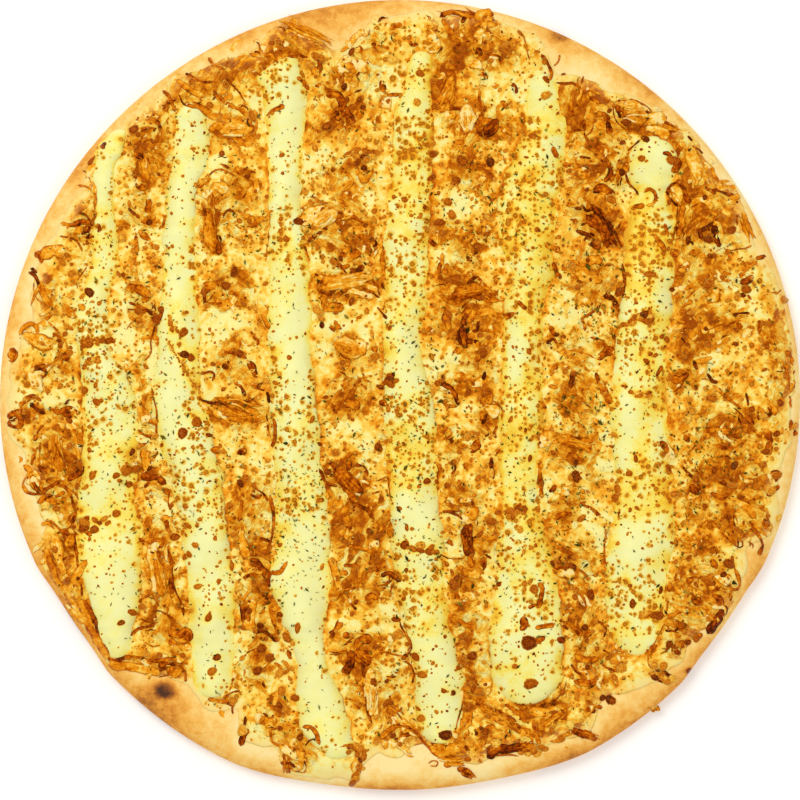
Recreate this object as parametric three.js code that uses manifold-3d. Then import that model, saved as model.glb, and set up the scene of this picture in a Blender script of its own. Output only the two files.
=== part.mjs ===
// A whole, uncut chicken cream cheese pizza, in millimetres, +Z up. The origin is the middle
// of its underside, and +Y is the top of the pizza as it is served.
//
// From the bottom up it is: a baked dough base with a raised rim, a layer of melted cheese,
// a heap of shredded chicken with larger pieces lying in it, and six piped lines of cream
// cheese sunk into the heap.
//
// Places on the pizza are written as [across, down] on a square plan whose side is the
// pizza's diameter cut into PLAN_SIDE units, seen from straight above.

import * as THREE from 'three';
import { mergeVertices } from 'three/addons/utils/BufferGeometryUtils.js';
import Module from 'manifold-3d';

// ---------------------------------------------------------------- driving dimensions

const PIZZA_DIAMETER = 350;
const PLAN_SIDE = 800;
const UNIT = PIZZA_DIAMETER / PLAN_SIDE; // one plan unit in mm
const PLAN_CENTRE = PLAN_SIDE / 2;

const TOUCH_GAP = 0.3; // between two pieces that touch

// Dough
const DOUGH_FLOOR = 4.5; // thickness under the toppings
const RIM_HEIGHT = 13; // at its highest
const RIM_HEIGHT_SWING = 1.4; // how much the rim's height wanders round the pizza
const RIM_FOOT = 0.76; // where the rim starts to rise, as a part of the radius
const RIM_CREST = 0.945; // where it is highest
const RIM_BELLY_HEIGHT = 5.5; // where the side is widest
const UNDERSIDE_EDGE = 0.975; // where the flat underside ends
const OUTLINE_SWING = 0.5; // unevenness of the outline, inwards only
const ROLL_RING = 0.7; // where the ring between the crest and the widest line lies
const TURN_UP = 0.8; // the ring where the underside turns up: how far out it is
const TURN_UP_HEIGHT = 0.4 * RIM_BELLY_HEIGHT;

// Waves of the rim's height round the pizza: [waves in a turn, phase, share].
const RIM_WAVES = [
  [3, 0.8, 0.6],
  [5, 2.1, 0.4],
];

// Melted cheese
const CHEESE_THICKNESS = 2.2;
const CHEESE_EDGE_THICKNESS = 0.9;
const THINNING = 0.25; // width over which the toppings thin out, as a part of their radius
const CREST_MARGIN = 0.01; // kept between the toppings and the rim's crest
const INNER_RING = 0.5; // a ring on the flat middle, as a part of the toppings' radius
const FOOT_LIMIT = 0.86; // the rim's foot is never further out than this part of it
const LOWER_SLOPE = 0.55; // a ring on the slope, from the foot to the heap's edge

// Heap of shredded chicken
const HEAP_THICKNESS = 4.2;
const HEAP_EDGE_THICKNESS = 1.4;
const HEAP_SWING = 1.3; // unevenness of its top
const HEAP_EDGE = 0.96; // its outline, as a part of the melted cheese's
const HEAP_RUNOUT = 8; // width over which larger pieces come down off its edge
const HEAP_RINGS = [0.28, 0.52, 0.72]; // rings that carry its hills

// Cream cheese lines
const LINE_BED = 1.4; // chicken left under a line
const LINE_FLATNESS = 0.3; // height over width of a line's section
const LINE_BELLY = 1.3; // height of its widest part above its base
const BED_RISE = 0.5; // exponent: how soon the bed under a line is full inside the edge

// Chicken pieces
const PIECE_FLATNESS = 0.5; // height over width
const PIECE_SUNK = 0.35; // the part of its height that is sunk in the heap
const PIECE_BLUNTNESS = 0.7; // exponent: the lower, the blunter its ends
const PIECE_EASING = 0.5; // how much its stations draw together towards its ends

// Fineness of the solids
const AROUND = 52;
const LINE_SIDES = 8;
const LINE_STATIONS = 12;
const PIECE_SIDES = 6;
const PIECE_STATIONS = 4;
const MERGE_STEP = 1e-4;
const NO_WIDTH = 1e-3; // a section narrower than this part of the full width is an end point

// ---------------------------------------------------------------- what the plan shows

// Stretches where the outline dips inwards: [bearing in degrees, depth in mm, half width].
const OUTLINE_DIPS = [
  [-88, 4.4, 21],
  [-146, 2.4, 8],
  [-35, 2.4, 9],
];

// Uneven edge of the toppings: [bearing in degrees, plan units from the centre].
const TOPPING_EDGE = [
  [0, 378], [14, 384], [27, 376], [37, 382], [48, 376], [62, 352], [75, 378], [90, 380],
  [100, 348], [108, 384], [120, 358], [133, 368], [150, 376], [166, 372], [183, 384],
  [197, 366], [214, 384], [228, 372], [238, 352], [255, 380], [263, 378], [270, 346], [281, 364],
  [291, 358], [299, 374], [308, 352], [319, 364], [332, 384], [346, 376],
];

// Cream cheese lines from their far end to their near end: [down, left edge, right edge].
const CREAM_LINES = [
  [
    [130, 112, 128], [173, 94, 115], [258, 92, 120], [306, 77, 108], [350, 79, 112],
    [400, 84, 138], [500, 79, 135], [560, 80, 143], [600, 92, 142], [657, 98, 134],
  ],
  [
    [104, 177, 205], [140, 176, 209], [189, 168, 196], [293, 163, 199], [393, 153, 204],
    [450, 163, 219], [530, 184, 227], [620, 190, 240], [697, 190, 236],
  ],
  [
    [58, 258, 304], [102, 263, 306], [204, 270, 300], [255, 268, 306], [332, 269, 311],
    [400, 270, 316], [500, 276, 328], [580, 271, 331], [640, 293, 324], [700, 297, 340],
    [757, 308, 356],
  ],
  [
    [52, 408, 436], [115, 395, 433], [204, 388, 430], [300, 383, 426], [400, 383, 433],
    [500, 390, 438], [600, 405, 448], [700, 417, 466], [743, 417, 462],
  ],
  [
    [74, 528, 557], [128, 525, 566], [190, 501, 562], [242, 499, 553], [306, 502, 543],
    [400, 499, 543], [480, 498, 538], [560, 497, 553], [630, 489, 563], [704, 490, 560],
  ],
  [
    [137, 630, 672], [165, 628, 676], [195, 632, 667], [240, 623, 672], [310, 621, 671],
    [400, 609, 665], [473, 614, 673], [560, 605, 671], [600, 604, 665], [655, 612, 660],
  ],
];

// Larger pieces of chicken: name, where they start and end, width, and sideways bow.
const CHICKEN_PIECES = [
  ['chicken_top_strip', [274, 22], [334, 56], 13, 5],
  ['chicken_top_arc', [441, 14], [494, 28], 11, 5],
  ['chicken_top_shred', [511, 34], [515, 69], 12, -3],
  ['chicken_upper_slant', [453, 77], [438, 118], 14, 3],
  ['chicken_meaty_chunk', [465, 102], [466, 137], 19, 2],
  ['chicken_upper_dark', [483, 140], [500, 120], 13, 3],
  ['chicken_upper_left_patch', [216, 133], [258, 131], 19, 3],
  ['chicken_left_upper_shred', [136, 136], [147, 188], 13, 4],
  ['chicken_rim_oval', [612, 110], [650, 118], 23, 4],
  ['chicken_rim_orange', [655, 124], [682, 134], 15, -2],
  ['chicken_right_golden', [682, 152], [714, 186], 18, -4],
  ['chicken_right_dark_shred', [692, 203], [734, 199], 9, 3],
  ['chicken_burnt_knot', [582, 216], [614, 240], 20, 4],
  ['chicken_upright_shred', [210, 206], [217, 258], 13, -4],
  ['chicken_smooth_piece', [312, 230], [340, 211], 21, 3],
  ['chicken_streaked_shred', [320, 292], [380, 278], 16, 5],
  ['chicken_orange_patch', [330, 342], [362, 357], 20, 4],
  ['chicken_middle_knot', [446, 302], [490, 290], 19, 5],
  ['chicken_hooked_shred', [461, 326], [470, 350], 10, -6],
  ['chicken_right_strip', [733, 212], [748, 245], 13, 3],
  ['chicken_right_bar', [772, 347], [781, 393], 13, 3],
  ['chicken_left_lobed', [9, 421], [30, 416], 14, 2],
  ['chicken_left_upright', [58, 428], [64, 476], 13, -3],
  ['chicken_left_blister', [28, 474], [43, 494], 14, 3],
  ['chicken_left_rim_piece', [36, 306], [57, 278], 14, 4],
  ['chicken_bent_shred', [214, 404], [262, 418], 11, -6],
  ['chicken_reddish_piece', [334, 464], [366, 494], 18, -4],
  ['chicken_low_strip', [153, 553], [163, 600], 13, 3],
  ['chicken_dark_upright', [466, 520], [469, 560], 10, -3],
  ['chicken_right_middle_shred', [552, 440], [596, 452], 16, 5],
  ['chicken_right_thin_strand', [731, 500], [740, 547], 9, -4],
  ['chicken_star_piece', [350, 650], [372, 666], 16, 3],
  ['chicken_tan_shred', [367, 670], [371, 720], 15, 3],
  ['chicken_low_knot', [437, 756], [466, 755], 13, -2],
  ['chicken_near_oval', [457, 767], [475, 776], 9, 1],
  ['chicken_burnt_finger', [487, 752], [544, 745], 15, 4],
  ['chicken_small_finger', [571, 727], [597, 739], 11, 2],
  ['chicken_arm_near', [475, 699], [521, 727], 12, -4],
  ['chicken_arm_far', [569, 700], [536, 730], 13, 4],
  ['chicken_low_bar', [650, 674], [673, 679], 10, 2],
  ['chicken_near_strand', [296, 741], [288, 773], 9, -3],
];

// Smooth relief of the heap: [wavelengths across and along in mm, phase, share].
const HEAP_WAVES = [
  [41, 57, 0.3, 0.5],
  [-33, 38, 1.9, 0.3],
  [23, -29, 4.1, 0.2],
];

const COLOURS = {
  dough: '#efc583',
  cheese: '#f4d777',
  chicken: '#cf7f26',
  cream: '#f6f3c0',
};

// ---------------------------------------------------------------- small helpers

const FULL_TURN = 2 * Math.PI;

function wrapDegrees(angle) {
  return ((((angle + 180) % 360) + 360) % 360) - 180;
}

function mix(from, to, share) {
  return from + (to - from) * share;
}

function smoothStep(value) {
  const share = Math.min(Math.max(value, 0), 1);
  return share * share * (3 - 2 * share);
}

// A place on the plan, in mm from the plan's centre.
function fromPlan([across, down]) {
  return new THREE.Vector2((across - PLAN_CENTRE) * UNIT, (PLAN_CENTRE - down) * UNIT);
}

// A smooth closed function of bearing through the listed [bearing, value] pairs.
function closedCurve(pairs) {
  const count = pairs.length;
  const value = (index) => pairs[((index % count) + count) % count][1];
  return (bearing) => {
    const angle = ((bearing % 360) + 360) % 360;
    let index = count - 1;
    while (pairs[index][0] > angle) index -= 1;
    const start = pairs[index][0];
    const end = index + 1 < count ? pairs[index + 1][0] : 360 + pairs[0][0];
    const share = smoothStep((angle - start) / (end - start));
    return mix(value(index), value(index + 1), share);
  };
}

// ---------------------------------------------------------------- heights and outlines

// Radius of the dough's outline, in mm, at a bearing in degrees.
function outlineRadius(bearing) {
  let dip = 0;
  for (const [middle, depth, halfWidth] of OUTLINE_DIPS) {
    const away = wrapDegrees(bearing - middle) / halfWidth;
    dip += depth * Math.exp(-(away ** 4));
  }
  const swing = OUTLINE_SWING * Math.sin(THREE.MathUtils.degToRad(bearing) * 2) ** 2;
  return PIZZA_DIAMETER / 2 - Math.max(dip, swing);
}

const toppingEdgeUnits = closedCurve(TOPPING_EDGE);

// Radius of the toppings' outline, in mm, kept inside the rim's crest.
function toppingRadius(bearing) {
  const wanted = toppingEdgeUnits(bearing) * UNIT;
  return Math.min(wanted, outlineRadius(bearing) * (RIM_CREST - CREST_MARGIN));
}

function rimHeight(bearing) {
  const angle = THREE.MathUtils.degToRad(bearing);
  let swing = 0;
  for (const [waves, phase, share] of RIM_WAVES) swing += share * Math.sin(angle * waves + phase);
  return RIM_HEIGHT - (RIM_HEIGHT_SWING * (1 - swing)) / 2;
}

// Height of the dough's upper face, from the middle out to the rim's widest line.
function doughTop(x, y) {
  const bearing = THREE.MathUtils.radToDeg(Math.atan2(y, x));
  const share = Math.hypot(x, y) / outlineRadius(bearing);
  const crest = rimHeight(bearing);
  if (share <= RIM_CREST) {
    const climb = smoothStep((share - RIM_FOOT) / (RIM_CREST - RIM_FOOT));
    return mix(DOUGH_FLOOR, crest, climb);
  }
  const over = Math.min((share - RIM_CREST) / (1 - RIM_CREST), 1);
  return RIM_BELLY_HEIGHT + (crest - RIM_BELLY_HEIGHT) * Math.sqrt(1 - over * over);
}

// How far a place is from the toppings' edge towards the middle: 0 at the edge, 1 well inside.
function insideTopping(x, y) {
  const edge = toppingRadius(THREE.MathUtils.radToDeg(Math.atan2(y, x)));
  return smoothStep((edge - Math.hypot(x, y)) / (THINNING * edge));
}

function cheeseTop(x, y) {
  const thickness = mix(CHEESE_EDGE_THICKNESS, CHEESE_THICKNESS, insideTopping(x, y));
  return doughTop(x, y) + TOUCH_GAP + thickness;
}

function heapTop(x, y) {
  let relief = 0;
  for (const [across, along, phase, share] of HEAP_WAVES) {
    relief += share * Math.sin(FULL_TURN * (x / across + y / along) + phase);
  }
  const inside = insideTopping(x, y);
  const thickness = mix(HEAP_EDGE_THICKNESS, HEAP_THICKNESS + HEAP_SWING * relief, inside);
  return cheeseTop(x, y) + TOUCH_GAP + thickness;
}

// What a piece of chicken lies on: the heap, running out to the bare rim past its edge.
function restingHeight(x, y) {
  const edge = toppingRadius(THREE.MathUtils.radToDeg(Math.atan2(y, x)));
  const onHeap = smoothStep((HEAP_EDGE * edge - Math.hypot(x, y)) / HEAP_RUNOUT + 1 / 2);
  return mix(doughTop(x, y), heapTop(x, y), onHeap);
}

// ---------------------------------------------------------------- solids and cuts

const manifold = await Module();
manifold.setup();

function solidOf(geometry) {
  const bare = geometry.clone();
  bare.deleteAttribute('normal');
  bare.deleteAttribute('uv');
  const merged = mergeVertices(bare, MERGE_STEP);
  return new manifold.Manifold(new manifold.Mesh({
    numProp: 3,
    vertProperties: new Float32Array(merged.attributes.position.array),
    triVerts: new Uint32Array(merged.index.array),
  }));
}

function geometryOf(solid) {
  const mesh = solid.getMesh();
  const geometry = new THREE.BufferGeometry();
  geometry.setAttribute('position', new THREE.BufferAttribute(mesh.vertProperties, 3));
  geometry.setIndex(new THREE.BufferAttribute(mesh.triVerts, 1));
  geometry.computeVertexNormals();
  return geometry;
}

// The largest part of a solid, without the crumbs that a cut can leave.
function largestPart(solid) {
  const parts = solid.decompose();
  return parts.reduce((best, part) => (part.volume() > best.volume() ? part : best));
}

// A solid and the narrow gap kept above it.
function withGapAbove(solid) {
  return solid.add(solid.translate([0, 0, TOUCH_GAP]));
}

function cutBy(solid, cutters) {
  let rest = solid;
  for (const cutter of cutters) rest = rest.subtract(cutter);
  return largestPart(rest);
}

// ---------------------------------------------------------------- turned pieces

// A turned body whose rings are then moved: ring(index, bearing) gives each point.
// The first and last rings are single points on the axis.
function turned(ringCount, ring) {
  const profile = [];
  for (let index = 0; index < ringCount; index += 1) {
    const ends = index === 0 || index === ringCount - 1;
    profile.push(new THREE.Vector2(ends ? 0 : 1, index));
  }
  const geometry = new THREE.LatheGeometry(profile, AROUND);
  const position = geometry.attributes.position;
  for (let turn = 0; turn <= AROUND; turn += 1) {
    const bearing = (360 * (turn % AROUND)) / AROUND;
    for (let index = 0; index < ringCount; index += 1) {
      const [radius, height] = ring(index, bearing);
      const angle = THREE.MathUtils.degToRad(bearing);
      const point = [radius * Math.cos(angle), radius * Math.sin(angle), height];
      position.setXYZ(turn * ringCount + index, ...point);
    }
  }
  return geometry;
}

// Rings that the layers share, from the middle out to the rim's widest line.
const toppingPart = (share) => (bearing) => share * toppingRadius(bearing);
const doughPart = (share) => (bearing) => share * outlineRadius(bearing);
const rimFoot = (bearing) => Math.min(doughPart(RIM_FOOT)(bearing), toppingPart(FOOT_LIMIT)(bearing));
const lowerSlope = (bearing) => mix(rimFoot(bearing), toppingPart(HEAP_EDGE)(bearing), LOWER_SLOPE);
const bareRim = (bearing) => (toppingRadius(bearing) + doughPart(RIM_CREST)(bearing)) / 2;

const MIDDLE_RINGS = [toppingPart(0), toppingPart(INNER_RING)];
const SLOPE_RINGS = [rimFoot, lowerSlope, toppingPart(HEAP_EDGE)];
const ROLL_SHARES = [RIM_CREST, mix(RIM_CREST, 1, ROLL_RING), 1];

function atHeight(ring, height) {
  return (bearing) => {
    const radius = ring(bearing);
    const angle = THREE.MathUtils.degToRad(bearing);
    return [radius, height(radius * Math.cos(angle), radius * Math.sin(angle))];
  };
}

// A turned body: lower rings at fixed heights from the middle out, then upper rings back.
function turnedBody(lowerRings, upperRings, top) {
  const below = [[doughPart(0), lowerRings[0][1]], ...lowerRings];
  const rings = [
    ...below.map(([ring, height]) => atHeight(ring, () => height)),
    ...upperRings.map((ring) => atHeight(ring, top)).reverse(),
  ];
  return turned(rings.length, (index, bearing) => rings[index](bearing));
}

function makeDough() {
  const underside = [
    [doughPart(UNDERSIDE_EDGE), 0],
    [doughPart(mix(UNDERSIDE_EDGE, 1, TURN_UP)), TURN_UP_HEIGHT],
  ];
  const rings = [
    toppingPart(0), ...SLOPE_RINGS, toppingRadius, bareRim, ...ROLL_SHARES.map(doughPart),
  ];
  return turnedBody(underside, rings, doughTop);
}

// The next two reach down into what carries them, whose shape is then cut out of them.
function makeCheese() {
  const rings = [...MIDDLE_RINGS, ...SLOPE_RINGS, toppingRadius];
  return turnedBody([[toppingRadius, DOUGH_FLOOR / 2]], rings, cheeseTop);
}

function makeHeap() {
  const hills = HEAP_RINGS.map(toppingPart);
  const rings = [toppingPart(0), ...hills, ...SLOPE_RINGS];
  return turnedBody([[toppingPart(HEAP_EDGE), DOUGH_FLOOR]], rings, heapTop);
}

// ---------------------------------------------------------------- long soft pieces

// A ball whose rings are spread along a route: at(share, turn) gives each point, where
// share runs from end to end and turn goes round the section.
function drawnOut(sides, stations, at) {
  const geometry = new THREE.SphereGeometry(1, sides, stations);
  const position = geometry.attributes.position;
  for (let station = 0; station <= stations; station += 1) {
    for (let side = 0; side <= sides; side += 1) {
      const turn = (FULL_TURN * (side % sides)) / sides;
      const point = at(station / stations, turn);
      position.setXYZ(station * (sides + 1) + side, point.x, point.y, point.z);
    }
  }
  return geometry;
}

// How full a section is near a round end: 0 at the very end, 1 past the rounding.
function endFullness(share, rounding) {
  const near = Math.min(share, 1 - share) / rounding;
  return near >= 1 ? 1 : Math.sqrt(1 - (1 - near) ** 2);
}

function lineSection(line) {
  const downs = line.map(([down]) => down);
  return (down) => {
    let index = 0;
    while (index < downs.length - 2 && downs[index + 1] < down) index += 1;
    const share = smoothStep((down - downs[index]) / (downs[index + 1] - downs[index]));
    const left = mix(line[index][1], line[index + 1][1], share);
    const right = mix(line[index][2], line[index + 1][2], share);
    return { middle: (left + right) / 2, width: (right - left) * UNIT };
  };
}

// What a line lies on: a bed of chicken over the cheese, thinning out on the bare rim.
function lineBed(x, y) {
  const inside = insideTopping(x, y);
  const bed = mix(TOUCH_GAP, CHEESE_THICKNESS + LINE_BED + TOUCH_GAP, inside ** BED_RISE);
  return doughTop(x, y) + TOUCH_GAP + bed;
}

// One piped line; grown is how much larger than true it is made on every side.
function makeLine(line, grown) {
  const section = lineSection(line);
  const first = line[0][0];
  const last = line[line.length - 1][0];
  const length = (last - first) * UNIT;
  return drawnOut(LINE_SIDES, LINE_STATIONS, (share, turn) => {
    const eased = (1 - Math.cos(Math.PI * share)) / 2; // closer stations at the round ends
    const down = mix(first, last, eased);
    const { middle, width } = section(down);
    const fullness = endFullness(eased, width / 2 / length);
    const extra = fullness > 0 ? grown : 0;
    const centre = fromPlan([middle, down]);
    const x = centre.x - ((width / 2) * fullness + extra) * Math.cos(turn);
    const y = centre.y - (2 * share - 1) * grown;
    const reach = turn < Math.PI ? LINE_FLATNESS * width - LINE_BELLY : LINE_BELLY;
    const height = (reach * fullness + extra) * Math.sin(turn);
    return new THREE.Vector3(x, y, lineBed(x, y) + LINE_BELLY + height);
  });
}

// One larger piece of chicken: thick in the middle, narrow at both ends, bowed sideways.
function makePiece([, start, end, widthUnits, bowUnits], grown) {
  const from = fromPlan(start);
  const to = fromPlan(end);
  const along = to.clone().sub(from);
  const length = along.length();
  along.normalize();
  const across = new THREE.Vector2(-along.y, along.x);
  const halfWidth = (widthUnits * UNIT) / 2;
  const halfHeight = halfWidth * PIECE_FLATNESS;
  return drawnOut(PIECE_SIDES, PIECE_STATIONS, (share, turn) => {
    const eased = mix(share, smoothStep(share), PIECE_EASING);
    const fullness = Math.sin(Math.PI * eased) ** PIECE_BLUNTNESS;
    const extra = fullness > NO_WIDTH ? grown : 0;
    const reach = share * length + (2 * share - 1) * grown;
    const bow = bowUnits * UNIT * Math.sin(Math.PI * share);
    const sideways = bow - (halfWidth * fullness + extra) * Math.cos(turn);
    const place = from.clone().addScaledVector(along, reach).addScaledVector(across, sideways);
    const lift = halfHeight * (1 - 2 * PIECE_SUNK);
    const height = lift + (halfHeight * fullness + extra) * Math.sin(turn);
    return new THREE.Vector3(place.x, place.y, restingHeight(place.x, place.y) + height);
  });
}

// ---------------------------------------------------------------- the pizza

const dough = solidOf(makeDough());
const cheese = cutBy(solidOf(makeCheese()), [withGapAbove(dough)]);
const underToppings = [withGapAbove(dough), withGapAbove(cheese)];

const lines = CREAM_LINES.map((line) => cutBy(solidOf(makeLine(line, 0)), underToppings));
const grownLines = CREAM_LINES.map((line) => solidOf(makeLine(line, TOUCH_GAP)));

const pieces = CHICKEN_PIECES.map((piece) => (
  cutBy(solidOf(makePiece(piece, 0)), [...underToppings, ...grownLines])
));
const grownPieces = CHICKEN_PIECES.map((piece) => solidOf(makePiece(piece, TOUCH_GAP)));

const heap = cutBy(solidOf(makeHeap()), [...underToppings, ...grownLines, ...grownPieces]);

function namedMesh(name, solid, colour, roughness) {
  const material = new THREE.MeshStandardMaterial({ color: colour, roughness, metalness: 0 });
  const mesh = new THREE.Mesh(geometryOf(solid), material);
  mesh.name = name;
  return mesh;
}

const pizza = new THREE.Group();
pizza.add(namedMesh('dough_base', dough, COLOURS.dough, 0.85));
pizza.add(namedMesh('melted_cheese', cheese, COLOURS.cheese, 0.45));
pizza.add(namedMesh('shredded_chicken', heap, COLOURS.chicken, 0.6));
lines.forEach((line, index) => {
  pizza.add(namedMesh(`cream_line_${index + 1}`, line, COLOURS.cream, 0.4));
});
pieces.forEach((piece, index) => {
  pizza.add(namedMesh(CHICKEN_PIECES[index][0], piece, COLOURS.chicken, 0.6));
});

// The plan's centre is the middle of a full circle; the dough's dip at the near edge moves
// the middle of its box, so the whole pizza is set back to put that middle on the origin.
const box = dough.boundingBox();
pizza.position.set(-(box.min[0] + box.max[0]) / 2, -(box.min[1] + box.max[1]) / 2, 0);

export default pizza;
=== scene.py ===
"""The looks of a whole chicken cream cheese pizza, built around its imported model.

Lengths are in millimetres from the middle of the plan, and are turned into metres in the
model's frame when a mesh is made. Places on the pizza are written as [across, down] on the
same square plan as the model: its side is the pizza's diameter cut into PLAN_SIDE units.
"""

import bpy
import numpy as np
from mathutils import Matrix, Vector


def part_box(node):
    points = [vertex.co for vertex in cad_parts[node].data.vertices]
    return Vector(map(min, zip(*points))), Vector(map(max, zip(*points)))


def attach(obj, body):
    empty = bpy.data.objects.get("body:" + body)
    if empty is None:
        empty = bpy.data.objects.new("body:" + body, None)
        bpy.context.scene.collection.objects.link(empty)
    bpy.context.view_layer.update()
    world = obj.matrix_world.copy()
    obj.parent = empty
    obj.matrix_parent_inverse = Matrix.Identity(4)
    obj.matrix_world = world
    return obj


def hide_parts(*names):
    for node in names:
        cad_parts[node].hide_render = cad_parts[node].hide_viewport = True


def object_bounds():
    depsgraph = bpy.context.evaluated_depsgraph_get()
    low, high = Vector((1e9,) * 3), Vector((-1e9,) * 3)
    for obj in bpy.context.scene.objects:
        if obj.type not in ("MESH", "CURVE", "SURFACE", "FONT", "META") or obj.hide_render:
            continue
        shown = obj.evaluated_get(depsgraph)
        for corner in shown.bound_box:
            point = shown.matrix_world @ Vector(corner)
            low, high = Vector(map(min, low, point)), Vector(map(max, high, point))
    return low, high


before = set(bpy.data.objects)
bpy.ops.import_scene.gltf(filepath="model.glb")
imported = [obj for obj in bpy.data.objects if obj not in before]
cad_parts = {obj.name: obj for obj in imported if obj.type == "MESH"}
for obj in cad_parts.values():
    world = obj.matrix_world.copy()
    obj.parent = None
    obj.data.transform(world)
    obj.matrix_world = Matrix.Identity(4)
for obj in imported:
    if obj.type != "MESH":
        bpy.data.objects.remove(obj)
cad_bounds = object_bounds()

# ---------------------------------------------------------------- driving dimensions

MM = 0.001
PLAN_SIDE = 800
PLAN_CENTRE = PLAN_SIDE / 2
DOUGH_LOW, DOUGH_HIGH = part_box("dough_base")
PIZZA_RADIUS = (DOUGH_HIGH.x - DOUGH_LOW.x) / 2 / MM
UNIT = 2 * PIZZA_RADIUS / PLAN_SIDE
PLAN_CENTRE_Y = DOUGH_HIGH.y / MM - PIZZA_RADIUS  # the plan's middle in the frame
HIGHEST = cad_bounds[1][2] / MM  # top of the solids
TOP_EASE = 1.2  # height over which tops are eased down to stay under it

TOUCH_GAP = 0.3

# Dough
DOUGH_FLOOR = 4.5
RIM_HEIGHT = 13
RIM_HEIGHT_SWING = 1.4
RIM_FOOT = 0.76  # where the rim begins to rise, as a part of the outline's radius
RIM_CREST = 0.945  # where it is highest
RIM_BELLY_HEIGHT = 5.5
OUTLINE_SWING = 0.5
OUTLINE_DIPS = [[-88, 4.4, 21], [-146, 2.4, 8], [-35, 2.4, 9]]  # bearing, depth, half width
RIM_WAVES = [[3, 0.8, 0.6], [5, 2.1, 0.4]]  # waves in a turn, phase, share

# Layers on the dough
CHEESE_THICKNESS = 2.2
CHEESE_EDGE_THICKNESS = 0.9
HEAP_THICKNESS = 4.2
HEAP_EDGE_THICKNESS = 1.4
HEAP_SWING = 1.3
HEAP_WAVES = [  # wavelength along x and along y, phase, share
    [41, 57, 0.3, 0.5], [-33, 38, 1.9, 0.3], [23, -29, 4.1, 0.2],
]
THINNING = 0.25  # width over which the layers thin out, as a part of their radius
TOPPINGS_REACH = 0.935  # the solids' furthest toppings, as a part of the outline's radius
SURFACE_DROP = 0.9  # the melted surface lies this much under the tops of the shreds
EDGE_RUNOUT = 9  # width over which the toppings come down to the bare rim
LARGEST_SHARE = 0.985  # the toppings' furthest reach, as a part of the outline's radius

# The solids' own edge of the toppings: [bearing in degrees, plan units from the centre].
TOPPING_EDGE = [
    [0, 378], [14, 384], [27, 376], [37, 382], [48, 376], [62, 352], [75, 378], [90, 380],
    [100, 348], [108, 384], [120, 358], [133, 368], [150, 376], [166, 372], [183, 384],
    [197, 366], [214, 384], [228, 372], [238, 352], [255, 380], [263, 378], [270, 346],
    [281, 364], [291, 358], [299, 374], [308, 352], [319, 364], [332, 384], [346, 376],
]

# The finer edge that shows, in the same terms.
SHOWN_EDGE = [
    [0, 392], [7, 396], [16, 395], [22, 388], [26, 385], [31, 396], [37, 389], [42, 390],
    [47, 384], [54, 380], [58, 373], [64, 362], [70, 387], [77, 394], [82, 390], [86, 386],
    [93, 385], [97, 362], [100, 350], [104, 372], [108, 392], [113, 376], [118, 386],
    [124, 390], [130, 386], [140, 384], [150, 385], [160, 385], [168, 380], [176, 393],
    [184, 394], [190, 380], [199, 378], [206, 396], [212, 398], [218, 397], [222, 390], [226, 372],
    [230, 357], [234, 356], [238, 362], [242, 354],
    [245, 376], [249, 368], [255, 386], [262, 386], [267, 352],
    [274, 344], [278, 370], [288, 366], [294, 372], [299, 380], [304, 360], [309, 370],
    [313, 380], [320, 375], [327, 394], [333, 381], [337, 374], [341, 392], [349, 382],
    [355, 394],
]

# Cream cheese lines from their far end to their near end: [down, left edge, right edge].
CREAM_LINES = [
    [
        [130, 112, 128], [150, 98, 124], [173, 94, 115], [204, 99, 115], [232, 94, 118],
        [258, 92, 120], [284, 84, 114], [306, 77, 107], [350, 79, 112], [376, 82, 128],
        [400, 84, 138], [450, 83, 138], [500, 79, 135], [530, 77, 142], [560, 80, 143],
        [600, 92, 142], [630, 99, 135], [657, 104, 132],
    ],
    [
        [104, 182, 204], [120, 178, 205], [140, 176, 209], [163, 174, 208], [189, 168, 196],
        [245, 163, 196], [293, 162, 199], [344, 158, 201], [393, 153, 204], [431, 158, 212],
        [480, 171, 224], [530, 184, 227], [590, 189, 237], [650, 190, 236], [697, 194, 232],
    ],
    [
        [58, 276, 304], [77, 257, 306], [102, 263, 306], [150, 268, 302], [204, 270, 300],
        [255, 268, 306], [285, 269, 311], [332, 269, 311], [400, 270, 316], [450, 274, 321],
        [500, 276, 328], [540, 274, 329], [580, 270, 332], [615, 280, 328], [640, 293, 324],
        [672, 296, 330], [700, 297, 344], [720, 300, 352], [757, 318, 356],
    ],
    [
        [52, 410, 432], [70, 406, 434], [89, 405, 431], [115, 395, 433], [153, 393, 432],
        [204, 388, 430], [250, 383, 428], [300, 383, 427], [330, 383, 420], [366, 383, 424],
        [400, 383, 433], [450, 386, 437], [500, 390, 438], [545, 393, 443], [580, 395, 447],
        [620, 404, 450], [640, 408, 454], [680, 415, 464], [715, 417, 465], [743, 420, 458],
    ],
    [
        [74, 528, 557], [100, 524, 558], [128, 525, 566], [155, 514, 564], [179, 503, 562],
        [204, 498, 558], [242, 499, 553], [281, 510, 553], [306, 502, 543], [345, 502, 542],
        [383, 502, 543], [430, 498, 542], [480, 498, 538], [520, 502, 542], [560, 497, 553],
        [600, 492, 560], [630, 489, 563], [670, 489, 563], [704, 494, 558],
    ],
    [
        [137, 636, 666], [150, 630, 673], [165, 628, 676], [182, 629, 672], [195, 634, 665],
        [208, 628, 671], [222, 624, 675], [270, 622, 673], [319, 619, 670], [360, 613, 668],
        [400, 609, 665], [440, 611, 670], [473, 614, 673], [510, 610, 673], [540, 607, 673],
        [570, 605, 670], [600, 604, 665], [630, 608, 663], [655, 616, 655],
    ],
]
LINE_RISE = 0.26  # a line's height above the toppings, as a part of its width
LINE_RISE_MOST = 5.4

# ---------------------------------------------------------------- what the toppings show

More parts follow.
